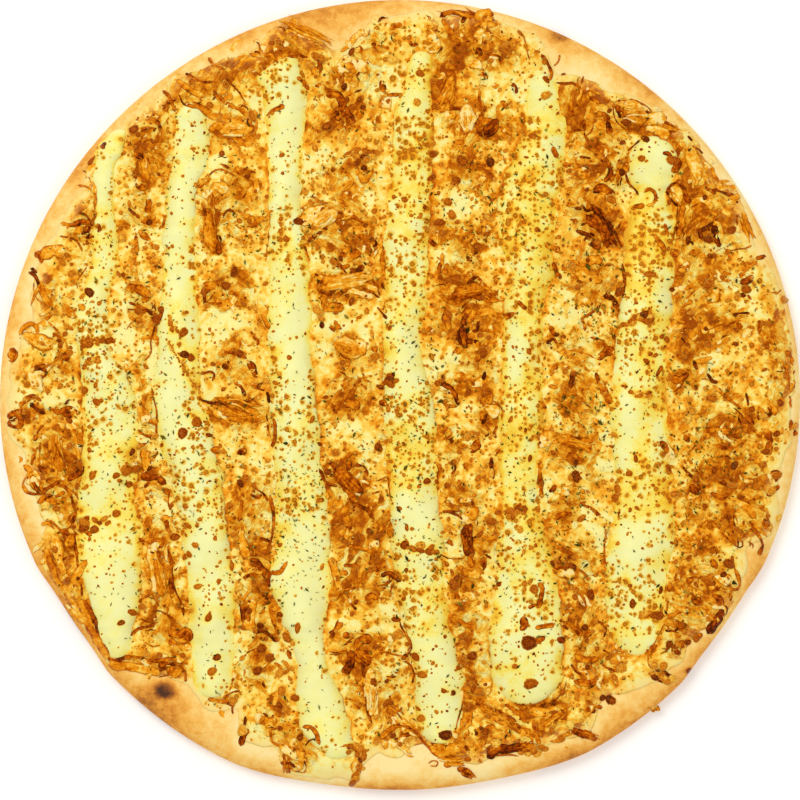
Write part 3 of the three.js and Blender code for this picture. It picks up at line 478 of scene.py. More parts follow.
    [0.75, 4.5, 430, 240, 436, 246], [0.65, 6, 439, 232, 443, 233], [0.85, 3.5, 440, 263, 439, 275],
    [0.75, 4, 447, 264, 444, 276], [0.75, 6, 467, 258, 471, 261], [0.88, 4, 468, 284, 473, 279, 479, 277],
    [0.65, 4, 479, 278, 484, 288, 492, 291], [0.85, 6, 473, 284, 478, 285],
    [0.7, 5, 455, 305, 463, 298, 472, 294, 480, 298, 490, 300, 500, 301],
    [0.9, 6, 470, 312, 464, 320, 462, 330, 464, 338, 470, 344, 477, 342], [0.68, 9, 446, 312, 448, 328],
    [0.38, 9, 478, 314, 488, 310, 494, 318], [0.6, 3.5, 480, 330, 488, 332, 496, 330],
    [0.96, 8, 483, 350, 484, 356], [0.6, 8, 454, 352, 462, 348],
    [0.85, 5.5, 440, 380, 446, 386, 452, 390, 456, 396, 458, 404], [0.3, 6, 444, 396, 452, 397],
    [0.72, 3.5, 440, 400, 446, 406, 456, 406], [0.97, 5, 485, 372, 483, 379], [0.2, 16, 488, 408, 495, 412],
    [0.6, 1.4, 481, 408, 486, 402, 494, 401, 501, 406, 503, 414, 501, 420],
    [0.72, 3.5, 497, 426, 493, 434, 496, 438], [0.78, 7, 480, 440, 476, 446, 470, 450],
    [0.95, 3, 482, 423, 485, 416], [0.65, 4, 498, 449, 494, 455], [0.82, 4, 491, 458, 491, 468, 493, 478],
    [0.85, 4, 441, 467, 438, 478], [0.85, 3, 452, 462, 456, 468, 452, 474], [0.75, 5, 465, 463, 467, 470],
    [0.8, 3.5, 458, 480, 460, 487, 464, 491], [0.85, 2.5, 442, 511, 452, 512, 460, 516, 462, 520],
    [0.93, 7, 470, 524, 468, 534, 470, 544, 473, 554], [0.7, 6, 470, 556, 472, 566],
    [0.88, 7, 488, 523, 493, 521], [0.52, 6, 480, 535, 490, 538, 500, 535], [0.98, 3, 486, 555, 490, 558],
    [0.72, 7, 446, 540, 452, 544], [0.85, 1.6, 440, 554, 446, 557, 456, 558, 464, 558],
    [0.95, 8, 450, 583, 456, 586], [0.7, 7, 455, 588, 458, 598, 460, 604], [0.95, 4, 496, 584, 500, 584],
    [0.62, 7, 460, 620, 468, 625, 474, 628], [0.7, 1.6, 462, 660, 468, 666, 473, 675, 476, 684],
    [0.82, 1.8, 466, 656, 472, 654, 479, 656, 473, 659, 466, 657], [0.97, 6, 477, 684, 478, 693],
    # between the fifth and sixth lines
    [0.85, 2, 517, 34, 522, 36, 524, 42, 527, 55, 528, 62], [0.75, 3, 541, 57, 547, 66, 552, 76, 549, 82],
    [0.8, 1.6, 559, 56, 557, 64, 553, 68], [0.95, 2, 561, 76, 564, 75],
    [0.75, 3, 556, 84, 563, 86, 572, 84, 580, 89], [0.9, 1.6, 583, 78, 581, 84],
    [0.6, 2.4, 581, 95, 588, 91, 596, 94, 603, 100, 608, 105], [0.65, 5, 586, 98, 593, 101, 598, 105],
    [0.75, 5, 571, 104, 571, 117], [0.82, 6, 602, 114, 606, 122, 610, 136], [0.9, 6, 617, 108, 619, 118],
    [0.86, 3, 583, 122, 584, 134, 588, 142], [0.75, 2, 592, 126, 590, 134, 584, 138],
    [0.85, 2.5, 570, 133, 576, 130, 584, 132], [0.82, 7, 596, 145, 600, 152], [0.6, 5, 553, 149, 556, 158],
    [0.9, 3, 580, 158, 590, 159], [0.65, 7, 564, 166, 572, 165], [0.5, 8, 580, 177, 587, 176],
    [0.95, 4, 607, 163, 610, 172, 604, 182], [0.8, 7, 593, 192, 600, 188, 608, 193, 613, 196],
    [0.95, 4, 581, 206, 585, 212, 592, 210], [0.9, 6, 590, 206, 598, 214, 603, 226, 610, 240, 615, 246],
    [0.85, 5, 586, 216, 596, 224, 604, 238, 606, 248], [0.88, 2, 580, 226, 590, 222, 597, 232],
    [0.9, 3, 576, 232, 588, 236, 596, 246], [1.0, 6, 590, 242, 598, 247],
    [0.9, 2.5, 600, 210, 608, 226, 618, 240, 622, 248], [0.75, 5, 553, 264, 556, 272, 560, 278],
    [0.55, 4, 562, 270, 568, 266, 576, 264, 584, 266], [0.62, 6, 546, 246, 553, 248, 560, 252],
    [0.88, 5, 604, 296, 609, 296, 613, 300, 617, 308], [0.93, 2, 611, 296, 616, 304, 618, 312],
    [0.75, 3, 620, 325, 616, 332, 612, 338], [0.65, 4, 590, 338, 600, 340, 606, 348],
    [0.6, 2.5, 562, 356, 570, 350, 582, 352, 594, 358], [0.7, 7, 598, 358, 606, 351, 612, 352],
    [0.88, 3, 546, 344, 552, 338, 557, 344], [0.75, 5, 549, 328, 553, 334, 558, 335],
    [0.6, 6, 505, 318, 512, 314], [0.6, 5, 518, 303, 525, 310], [0.7, 3, 582, 318, 590, 314, 596, 310],
    [0.7, 6, 556, 366, 551, 374], [0.7, 6, 549, 386, 556, 388], [0.88, 5, 571, 373, 570, 388],
    [0.98, 6, 596, 374, 598, 384], [0.62, 7, 600, 384, 604, 392, 609, 402], [0.75, 4, 540, 400, 544, 408],
    [0.7, 5, 540, 462, 539, 472, 541, 484, 540, 498], [0.95, 5, 570, 477, 580, 477],
    [0.9, 5.5, 549, 490, 554, 486], [0.62, 3.5, 542, 440, 552, 443, 562, 440],
    [0.95, 2.5, 567, 457, 570, 453],
    [0.75, 4, 519, 503, 515, 510, 513, 515], [0.78, 4, 580, 502, 590, 508, 600, 516],
    [0.65, 5, 555, 518, 562, 514, 570, 512], [0.78, 8, 554, 562, 560, 566, 566, 566],
    [0.62, 2.5, 566, 562, 574, 566, 582, 572, 588, 580], [0.72, 6, 538, 583, 542, 586, 540, 596, 538, 606],
    [0.68, 6, 528, 606, 534, 604], [0.72, 7, 522, 616, 524, 624, 521, 628],
    [0.55, 4, 535, 627, 545, 625, 552, 624], [0.72, 5, 526, 644, 531, 640, 538, 640, 544, 636],
    [0.85, 6, 558, 637, 564, 640], [0.72, 6, 562, 623, 570, 625, 577, 630, 580, 634],
    [0.78, 8, 586, 633, 590, 631], [0.95, 2.5, 600, 622, 606, 628, 604, 636], [0.9, 2, 597, 620, 608, 626],
    [0.9, 2.5, 603, 650, 609, 651, 611, 657, 606, 659], [0.95, 3, 571, 664, 575, 670, 580, 674],
    [0.7, 3, 600, 662, 606, 668, 616, 670, 624, 665], [0.6, 6, 576, 656, 586, 660, 596, 658],
    [0.7, 4, 584, 664, 592, 668], [0.65, 6, 575, 680, 586, 682, 596, 680],
    # right of the sixth line
    [0.75, 1.6, 613, 104, 622, 101, 632, 101, 641, 104, 649, 109, 653, 114, 650, 119, 643, 124],
    [0.75, 1.6, 643, 124, 637, 130, 628, 131, 620, 129, 614, 122, 612, 112, 613, 104],
    [0.85, 4, 616, 112, 621, 110, 624, 117, 618, 118], [0.85, 2.5, 626, 108, 631, 107],
    [1.0, 3, 645, 113, 652, 116, 657, 114], [0.65, 4, 667, 138, 673, 143], [0.98, 3, 694, 131, 698, 135],
    [0.66, 1.4, 658, 121, 664, 130, 670, 136], [0.25, 12, 648, 130, 658, 132, 664, 138],
    [0.85, 1.6, 690, 147, 697, 150, 702, 154], [0.97, 4, 661, 155, 666, 155, 669, 160],
    [0.8, 6, 668, 160, 676, 162, 675, 169, 671, 172], [0.2, 15, 688, 150, 692, 162, 697, 178],
    [0.45, 1.6, 682, 148, 688, 165, 690, 178], [0.5, 4, 710, 168, 716, 182],
    [0.92, 3.5, 704, 189, 711, 192, 712, 195],
    [0.95, 2.5, 712, 190, 722, 194, 728, 197, 734, 193, 741, 191],
    [0.95, 2.5, 735, 198, 741, 200, 746, 199], [0.95, 2, 665, 191, 670, 186, 676, 184],
    [0.97, 3, 665, 192, 670, 200, 676, 207], [0.02, 4, 670, 189, 673, 196, 677, 202],
    [0.85, 5, 677, 183, 682, 188, 684, 196, 687, 203], [0.8, 1.6, 676, 208, 677, 216, 674, 230, 672, 242],
    [0.65, 6, 681, 206, 681, 220, 677, 236], [0.28, 6, 690, 205, 698, 200, 706, 203, 712, 210],
    [0.6, 1.4, 693, 212, 700, 206, 708, 208, 712, 214], [0.9, 3.5, 702, 232, 706, 226, 712, 224, 719, 219],
    [0.95, 4, 700, 240, 699, 232, 704, 228], [0.85, 6, 712, 226, 714, 238, 718, 247],
    [0.4, 5, 748, 209, 745, 220, 740, 228], [0.7, 1.4, 750, 212, 746, 226, 742, 232],
    [0.9, 1.6, 627, 152, 632, 147, 638, 142], [0.86, 2.5, 624, 165, 624, 175, 628, 184, 634, 190, 637, 196],
    [0.65, 3, 643, 193, 647, 189, 652, 192, 655, 200, 651, 206, 645, 206], [0.6, 5, 634, 208, 642, 206],
    [0.95, 2.5, 622, 264, 623, 278, 624, 288, 621, 298], [0.65, 5, 664, 226, 667, 236],
    [0.65, 5, 653, 236, 658, 243, 664, 250], [0.7, 8, 688, 255, 696, 253], [0.6, 7, 671, 256, 676, 255],
    [0.6, 1.6, 700, 286, 692, 293, 685, 299], [0.65, 5, 685, 289, 692, 286], [0.65, 5, 684, 305, 690, 301],
    [0.86, 6, 739, 284, 745, 282, 750, 278], [0.88, 6, 739, 296, 742, 297], [0.8, 6, 746, 297, 748, 300],
    [0.98, 3, 732, 316, 740, 314, 747, 314],
    [0.8, 1.6, 700, 327, 706, 331, 713, 326, 720, 325, 728, 324, 740, 321],
    [0.88, 5.5, 755, 259, 763, 257, 773, 254], [0.6, 4, 755, 262, 748, 267, 742, 272, 738, 278],
    [0.7, 1.6, 741, 262, 745, 268], [0.8, 5, 757, 322, 757, 333], [0.65, 7, 690, 330, 692, 340],
    [0.97, 2.5, 680, 338, 684, 343, 688, 346], [0.72, 5, 785, 352, 795, 356, 799, 352],
    [0.7, 1.4, 722, 250, 732, 252, 742, 249, 750, 246], [0.98, 5, 693, 362, 695, 368],
    [0.95, 4, 706, 375, 711, 381, 716, 382], [0.82, 7, 672, 378, 678, 380, 686, 374],
    [0.65, 5, 660, 367, 656, 376], [0.98, 2.5, 620, 386, 626, 387],
    [0.6, 2.5, 712, 385, 722, 394, 732, 402, 741, 409], [0.9, 2, 744, 393, 746, 402, 746, 406],
    [0.9, 5, 749, 408, 752, 409], [0.82, 4.5, 745, 415, 749, 421, 752, 424],
    [0.82, 4, 765, 407, 769, 413, 765, 418, 762, 412], [0.7, 8, 763, 430, 768, 440, 766, 452],
    [0.85, 8, 770, 473, 777, 472, 774, 480], [0.85, 5, 765, 495, 771, 492, 776, 486],
    [0.75, 5, 795, 421, 790, 428], [0.6, 6, 706, 430, 718, 430, 730, 432],
    [0.65, 4, 712, 444, 722, 448, 735, 447, 745, 440], [0.75, 6, 733, 436, 738, 438],
    [0.72, 6, 660, 442, 666, 448, 668, 452], [0.7, 5, 684, 436, 688, 441],
    [0.8, 2.5, 682, 456, 690, 450, 694, 446], [0.97, 2.5, 682, 467, 688, 474, 694, 480],
    [0.78, 9, 691, 486, 697, 492], [0.75, 4, 705, 490, 715, 495, 722, 498, 727, 494],
    [0.85, 5, 718, 480, 724, 483], [0.4, 7, 728, 498, 738, 502, 748, 508, 753, 518],
    [0.65, 1.6, 745, 500, 751, 508, 754, 520], [0.88, 3.5, 764, 515, 768, 523],
    [0.75, 1.6, 712, 520, 720, 530, 728, 540, 736, 549, 742, 550, 744, 545, 741, 538, 734, 531, 727, 525],
    [0.5, 3.5, 716, 524, 726, 534, 736, 546], [0.82, 2.5, 748, 520, 752, 530, 758, 536, 762, 544, 765, 552],
    [0.85, 4.5, 763, 548, 764, 556], [0.6, 2.5, 750, 522, 758, 530, 770, 538], [0.9, 3, 767, 520, 771, 530],
    [0.8, 5, 710, 560, 714, 567], [0.92, 5, 723, 564, 728, 561, 732, 565],
    [0.7, 3.5, 733, 568, 737, 576, 739, 586, 734, 590, 728, 588], [0.16, 14, 716, 574, 726, 580],
    [0.82, 6, 711, 595, 718, 598, 720, 604], [0.78, 8, 692, 598, 698, 602],
    [0.62, 3, 700, 604, 706, 610, 711, 618, 716, 622],
    [0.9, 8, 722, 606, 727, 614, 728, 620, 723, 630, 716, 637], [0.65, 6, 665, 615, 672, 614, 680, 608],
    [1.0, 2.5, 664, 629, 672, 631, 676, 629], [0.8, 3, 676, 627, 681, 630], [0.85, 2, 667, 600, 665, 609],
    [0.7, 1.8, 664, 622, 658, 632, 653, 642, 648, 650, 646, 662, 650, 668], [0.78, 5, 650, 648, 655, 644],
    [0.85, 5, 686, 581, 692, 577], [0.75, 1.8, 674, 580, 676, 572, 684, 574], [0.6, 5, 668, 582, 668, 590],
    [0.78, 5, 693, 637, 700, 634], [0.9, 4.5, 666, 642, 670, 642], [0.7, 4, 682, 643, 688, 639],
    [0.85, 7, 652, 671, 656, 678, 664, 680, 672, 679],
    [0.85, 2, 605, 522, 606, 532, 604, 542, 603, 555, 606, 566],
    [0.85, 5, 603, 524, 609, 532],
    # the near rim
    [0.72, 4, 210, 698, 218, 700, 228, 700, 234, 696], [0.85, 1.8, 224, 697, 230, 692, 236, 690, 240, 689],
    [0.78, 7, 228, 697, 233, 705], [0.8, 2, 232, 704, 234, 712], [0.6, 1.4, 236, 670, 234, 680, 230, 690],
    [0.85, 4, 246, 716, 245, 724], [0.75, 5.5, 249, 729, 244, 735, 242, 742],
    [0.6, 8, 262, 716, 270, 720, 276, 718], [0.95, 2.5, 264, 712, 268, 714],
    [0.6, 3.5, 270, 728, 272, 740, 278, 744, 284, 744], [0.65, 5, 304, 725, 312, 724, 318, 732, 320, 740],
    [0.92, 2, 306, 743, 310, 738, 316, 736],
    [0.75, 1.8, 302, 745, 300, 752, 304, 758, 307, 765, 304, 772, 301, 778],
    [0.97, 3.5, 282, 762, 290, 762, 296, 765], [0.8, 1.6, 292, 766, 296, 771, 303, 772],
    [0.3, 7, 300, 745, 302, 758, 300, 768], [0.8, 1.2, 288, 754, 294, 748, 297, 746],
    [0.55, 2.5, 342, 744, 350, 742, 358, 745, 361, 752, 361, 765, 358, 778], [0.22, 8, 356, 750, 356, 772],
    [0.72, 6, 352, 782, 357, 784], [0.68, 5, 382, 736, 387, 730, 394, 725, 400, 724],
    [0.55, 2, 384, 712, 392, 716, 400, 724], [0.6, 1.6, 390, 706, 398, 712, 404, 720],
    [0.75, 2, 400, 724, 410, 726, 418, 732, 422, 740, 430, 748, 440, 756], [0.82, 4, 402, 735, 410, 732],
    [0.42, 12, 432, 747, 445, 750, 458, 745], [0.7, 6, 449, 752, 455, 752], [0.72, 6, 445, 762, 450, 763],
    [0.9, 5, 465, 745, 468, 749], [0.92, 4, 465, 758, 470, 757], [0.82, 6, 459, 767, 466, 771, 473, 776],
    [0.72, 1.4, 428, 762, 432, 758, 438, 760, 436, 765, 430, 764],
    [0.82, 1.6, 468, 702, 474, 704, 482, 703, 490, 707, 500, 711, 510, 714, 516, 720],
    [0.45, 9, 470, 704, 468, 715, 462, 725], [0.6, 5, 505, 704, 512, 708, 520, 713, 527, 720],
    [0.72, 3.5, 516, 722, 520, 728, 526, 726, 530, 734, 532, 742], [0.75, 2, 518, 718, 525, 716, 528, 722],
    [0.85, 2, 540, 706, 548, 703, 556, 702, 564, 702], [0.35, 9, 530, 710, 545, 711, 555, 707],
    [0.6, 5, 534, 720, 535, 735, 538, 742], [0.95, 2.5, 489, 717, 494, 711],
    [0.78, 9, 489, 753, 495, 747, 508, 745, 520, 746, 530, 745, 536, 745], [0.93, 8, 488, 754, 491, 752],
    [0.93, 7, 530, 744, 535, 745], [0.72, 6, 571, 727, 580, 731, 590, 736, 597, 740],
    [0.78, 4, 586, 700, 592, 705, 600, 706], [0.75, 1.4, 566, 680, 563, 690, 558, 697, 550, 701, 540, 704],
    [0.66, 1.4, 464, 690, 463, 704, 458, 718, 456, 728], [0.8, 1.6, 407, 650, 411, 643],
]

# Where the lines have sunk into the cheese: [across, down, half across, half down].
MELTED_LINES = [
    [532, 215, 34, 140], [406, 270, 30, 100], [650, 240, 34, 60], [522, 450, 30, 60],
    [292, 300, 26, 60], [108, 250, 20, 60], [185, 300, 26, 60], [640, 640, 34, 30],
    [420, 110, 34, 70], [286, 130, 32, 80], [640, 580, 32, 60], [526, 590, 34, 36], [192, 120, 20, 30],
    [548, 112, 30, 50],
]

# ---------------------------------------------------------------- numbers and noise

def mix(start, end, share):
    return start + (end - start) * share


def smoothstep(value):
    share = np.clip(value, 0, 1)
    return share * share * (3 - 2 * share)


def lattice(column, row, seed):
    """A repeatable number from 0 to 1 for each point of a square lattice."""
    mixed = (column * 374761393 + row * 668265263 + seed * 974634777) & 0xFFFFFFFF
    mixed = ((mixed ^ (mixed >> 13)) * 1274126177) & 0xFFFFFFFF
    return ((mixed ^ (mixed >> 16)) & 0xFFFF) / 65535


def noise(x, y, size, seed):
    """Smooth noise from -1 to 1, with bumps of about the given size."""
    across, along = x / size, y / size
    column, row = np.floor(across).astype(np.int64), np.floor(along).astype(np.int64)
    right, up = smoothstep(across - column), smoothstep(along - row)
    below = mix(lattice(column, row, seed), lattice(column + 1, row, seed), right)
    above = mix(lattice(column, row + 1, seed), lattice(column + 1, row + 1, seed), right)
    return 2 * mix(below, above, up) - 1


def fractal(x, y, size, octaves, seed):
    total, weight = 0, 0
    for octave in range(octaves):
        share = 0.5 ** octave
        total = total + share * noise(x, y, size * share, seed + octave)
        weight += share
    return total / weight


def ridges(x, y, size, seed):
    """Narrow crests from 0 to 1, as of things lying under a melted skin."""
    return 1 - np.abs(noise(x, y, size, seed))


# ---------------------------------------------------------------- places on the plan

def to_mm(across, down):
    return (across - PLAN_CENTRE) * UNIT, (PLAN_CENTRE - down) * UNIT


def to_plan(x, y):
    return x / UNIT + PLAN_CENTRE, PLAN_CENTRE - y / UNIT


def bearing_of(x, y):
    return np.degrees(np.arctan2(y, x))


def closed_curve(pairs):
    """A smooth closed function of bearing through the listed [bearing, value] pairs."""
    bearings = np.array([pair[0] for pair in pairs] + [360 + pairs[0][0]], float)
    values = np.array([pair[1] for pair in pairs] + [pairs[0][1]], float)

    def value(bearing):
        angle = (bearing - bearings[0]) % 360 + bearings[0]
        index = np.clip(np.searchsorted(bearings, angle, "right") - 1, 0, len(pairs) - 1)
        share = (angle - bearings[index]) / (bearings[index + 1] - bearings[index])
        return mix(values[index], values[index + 1], smoothstep(share))

    return value


def outline_radius(bearing):
    """The pizza's own outline, drawn in where the photo shows that it isn't round."""
    dip = 0
    for middle, depth, half_width in OUTLINE_DIPS:
        away = ((bearing - middle + 180) % 360 - 180) / half_width
        dip = dip + depth * np.exp(-(away ** 4))
    swing = OUTLINE_SWING * np.sin(np.radians(bearing) * 2) ** 2
    return PIZZA_RADIUS - np.maximum(dip, swing)


topping_edge_units = closed_curve(TOPPING_EDGE)
shown_edge_units = closed_curve(SHOWN_EDGE)


def topping_radius(bearing):
    furthest = outline_radius(bearing) * TOPPINGS_REACH
    return np.minimum(topping_edge_units(bearing) * UNIT, furthest)


RAGGED_LOOP = 120  # radius of the loop along which the ragged edge's noise is read


def shown_radius(bearing):
    """Where the melted cheese ends: the listed edge with a ragged, runny outline."""
    turn = np.radians(bearing)
    x, y = RAGGED_LOOP * np.cos(turn), RAGGED_LOOP * np.sin(turn)
    ragged = 2.6 * noise(x, y, 9, 11) + 1.7 * noise(x, y, 4, 12)
    furthest = outline_radius(bearing) * LARGEST_SHARE
    return np.minimum(shown_edge_units(bearing) * UNIT + ragged, furthest)


PATCH_EDGE = 1.5  # the higher, the sharper the edge of a listed place
BASE_WEIGHT = 0.15  # of the chicken that lies anywhere, beside the listed patches


def patch_weight(across, down, place):
    """How strongly a listed oval covers each point: 1 in its middle, 0 well outside."""
    reach = ((across - place[0]) / place[2]) ** 2 + ((down - place[1]) / place[3]) ** 2
    return np.exp(-(reach ** PATCH_EDGE))


def strongest(across, down, places, amounts=None):
    """How strongly any of the listed places covers each point, from 0 to 1."""
    clear = np.ones_like(across)
    for index, place in enumerate(places):
        amount = 1 if amounts is None else amounts[index]
        clear = clear * (1 - amount * patch_weight(across, down, place))
    return 1 - clear


def chicken_at(x, y):
    """How much chicken shows at each place, how brown it is and which way its fibres run."""
    across, down = to_plan(x, y)
    amount = strongest(across, down, CHICKEN_PATCHES, [patch[5] for patch in CHICKEN_PATCHES])
    brown, cosine, sine, total = BASE_BROWN * BASE_WEIGHT, 0, 0, BASE_WEIGHT
    for patch in CHICKEN_PATCHES:
        weight = patch_weight(across, down, patch)
        brown = brown + weight * patch[6]
        cosine = cosine + weight * np.cos(2 * np.radians(patch[4]))
        sine = sine + weight * np.sin(2 * np.radians(patch[4]))
        total = total + weight
    brown = brown / total
    brown = brown + BURNT_SLOPE * np.maximum(brown - BURNT_FROM, 0)
    return np.maximum(amount, BASE_CHICKEN), brown, np.arctan2(sine, cosine) / 2


def clustered(x, y):
    """1 where shreds lie thick, 0 where the melted cheese between them is bare."""
    amount, _, _ = chicken_at(x, y)
    return smoothstep((amount + 0.5 * fractal(x, y, 12, 3, 311) - 0.3) / 0.34)


# ---------------------------------------------------------------- heights

def rim_height(bearing):
    angle = np.radians(bearing)
    swing = sum(share * np.sin(angle * waves + phase) for waves, phase, share in RIM_WAVES)
    return RIM_HEIGHT - RIM_HEIGHT_SWING * (0.5 - 0.5 * swing)


def dough_top(x, y):
    """Height of the solids' dough: flat under the toppings, then up and over the rim."""
    bearing = bearing_of(x, y)
    share = np.hypot(x, y) / outline_radius(bearing)
    crest = rim_height(bearing)
    slope = mix(DOUGH_FLOOR, crest, smoothstep((share - RIM_FOOT) / (RIM_CREST - RIM_FOOT)))
    over = np.clip((share - RIM_CREST) / (1 - RIM_CREST), 0, 1)
    roll = RIM_BELLY_HEIGHT + (crest - RIM_BELLY_HEIGHT) * np.sqrt(1 - over * over)
    return np.where(share <= RIM_CREST, slope, roll)


def layers_thickness(x, y):
    """Thickness of the solids' cheese and heap together, above the dough."""
    edge = topping_radius(bearing_of(x, y))
    inside = smoothstep((edge - np.hypot(x, y)) / (THINNING * edge))
    relief = 0
    for across, along, phase, share in HEAP_WAVES:
        relief = relief + share * np.sin(2 * np.pi * (x / across + y / along) + phase)
    cheese = mix(CHEESE_EDGE_THICKNESS, CHEESE_THICKNESS, inside)
    heap = mix(HEAP_EDGE_THICKNESS, HEAP_THICKNESS + HEAP_SWING * relief, inside)
    return cheese + heap + 2 * TOUCH_GAP


def on_toppings(x, y):
    """0 on the bare rim, 1 well on the toppings."""
    return smoothstep((shown_radius(bearing_of(x, y)) - np.hypot(x, y)) / EDGE_RUNOUT)


def melted_surface(x, y):
    """Top of the melted cheese, with the swells of the chicken under it."""
    fade = on_toppings(x, y)
    amount, _, _ = chicken_at(x, y)
    swells = 0.8 * fractal(x, y, 13, 3, 21) + 0.7 * (ridges(x, y, 7, 31) - 0.6)
    fine = 0.28 * noise(x, y, 2.6, 41)
    body = layers_thickness(x, y) - SURFACE_DROP - 0.5 * amount + swells + fine
    return dough_top(x, y) + 0.2 + fade * body


def edge_wander(down, seed):
    """How far a line's edge strays sideways, in plan units."""
    return 2.0 * noise(down, down, 17, seed) + 1.2 * noise(down, down, 6, seed + 3)


def sunk_share(x, y):
    """0 where a line stands up with a clear edge, 1 where it has sunk into the cheese."""
    listed = strongest(*to_plan(x, y), MELTED_LINES)
    return np.maximum(0.9 * listed, smoothstep(0.4 + 1.1 * noise(x, y, 28, 63)))


def line_section(line, down):
    """Middle and half width of a line, in mm, at each plan height."""
    downs = np.array([row[0] for row in line], float)
    index = np.clip(np.searchsorted(downs, down, "right") - 1, 0, len(line) - 2)
    share = smoothstep((down - downs[index]) / (downs[index + 1] - downs[index]))
    left = np.array([row[1] for row in line], float)
    right = np.array([row[2] for row in line], float)
    left_edge = mix(left[index], left[index + 1], share) + edge_wander(down, 51)
    right_edge = mix(right[index], right[index + 1], share) + edge_wander(down, 52)
    middle, _ = to_mm((left_edge + right_edge) / 2, down)
    return middle, (right_edge - left_edge) / 2 * UNIT


def line_fullness(line, down):
    """0 at a line's ends, 1 past their rounding."""
    first, last = line[0][0], line[-1][0]
    share = np.clip((down - first) / (last - first), 0, 1)
    _, half = line_section(line, down)
    rounding = half / ((last - first) * UNIT)
    near = np.clip(np.minimum(share, 1 - share) / rounding, 0, 1)
    return np.sqrt(1 - (1 - near) ** 2)


def line_rise(line, x, y):
    """Height of a line above the melted surface; 0 beside it."""
    _, down = to_plan(x, y)
    middle, half = line_section(line, down)
    fullness = line_fullness(line, down)
    reach = np.abs(x - middle) / np.maximum(half * fullness, 1e-3)
    sunk = sunk_share(x, y)
    crown = (1 - np.clip(reach, 0, 1) ** 2.2) ** mix(0.65, 1.5, sunk)
    wander = 1 + 0.16 * noise(x, y, 24, 61) + 0.05 * noise(x, y, 7, 62)
    height = np.minimum(LINE_RISE * 2 * half, LINE_RISE_MOST) * wander * mix(1, 0.72, sunk)
    return height * fullness * crown


def line_base(x, y):
    """What the lines lie on: the melted surface without its smaller bumps."""
    swell = layers_thickness(x, y) - SURFACE_DROP - 0.2
    return dough_top(x, y) + 0.2 + on_toppings(x, y) * swell


def line_cover(x, y):
    """1 on a cream cheese line, 0 off it."""
    _, down = to_plan(x, y)
    cover = np.zeros_like(x)
    for line in CREAM_LINES:
        middle, half = line_section(line, down)
        within = np.maximum(half * line_fullness(line, down), 1e-3)
        inside = smoothstep((within - np.abs(x - middle)) / 1.2 + 0.5)
        between = (down > line[0][0]) & (down < line[-1][0])
        cover = np.maximum(cover, inside * between)
    return cover


def top_height(x, y):
    """Height of whatever lies uppermost: the rim, the melted surface or a line."""
    top = np.maximum(melted_surface(x, y), dough_top(x, y))
    _, down = to_plan(x, y)
    for line in CREAM_LINES:
        between = (down > line[0][0]) & (down < line[-1][0])
        top = np.where(between, np.maximum(top, line_base(x, y) + line_rise(line, x, y)), top)
    return top


# ---------------------------------------------------------------- browning round things

STAIN_CELL = 0.5


class StainMap:
    """How much browned food lies in and round each place, on a fine grid over the plan."""

    def __init__(self):
        self.cells = int(2 * PIZZA_RADIUS / STAIN_CELL) + 1
        self.grid = np.zeros((self.cells, self.cells))

    def add(self, x, y, area):
        """Adds things of the given areas in square millimetres."""
        column = np.clip(((x + PIZZA_RADIUS) / STAIN_CELL).astype(int), 0, self.cells - 1)
        row = np.clip(((y + PIZZA_RADIUS) / STAIN_CELL).astype(int), 0, self.cells - 1)
        np.add.at(self.grid, (row.ravel(), column.ravel()), (area / STAIN_CELL ** 2).ravel())

    def spread(self, width):
        """A function of place: the share covered within about the given width."""
        frequency = np.fft.fftfreq(self.cells, STAIN_CELL)
        falloff = np.exp(-2 * (np.pi * width * frequency) ** 2)
        smooth = np.fft.ifft2(np.fft.fft2(self.grid) * falloff[:, None] * falloff).real

        def at(x, y):
            across = np.clip((x + PIZZA_RADIUS) / STAIN_CELL - 0.5, 0, self.cells - 1.001)
            along = np.clip((y + PIZZA_RADIUS) / STAIN_CELL - 0.5, 0, self.cells - 1.001)
            column, row = across.astype(int), along.astype(int)
            right, up = across - column, along - row
            below = mix(smooth[row, column], smooth[row, column + 1], right)
            above = mix(smooth[row + 1, column], smooth[row + 1, column + 1], right)
            return mix(below, above, up)

        return at


SHRED_STAINS = StainMap()
DOT_STAINS = StainMap()

# ---------------------------------------------------------------- meshes

def under_the_top(height):
    """Heights eased down, the highest most, so that nothing stands above the pizza's box."""
    over = np.maximum(height - (HIGHEST - TOP_EASE), 0)
    return np.minimum(height, HIGHEST - TOP_EASE * np.exp(-over / TOP_EASE))


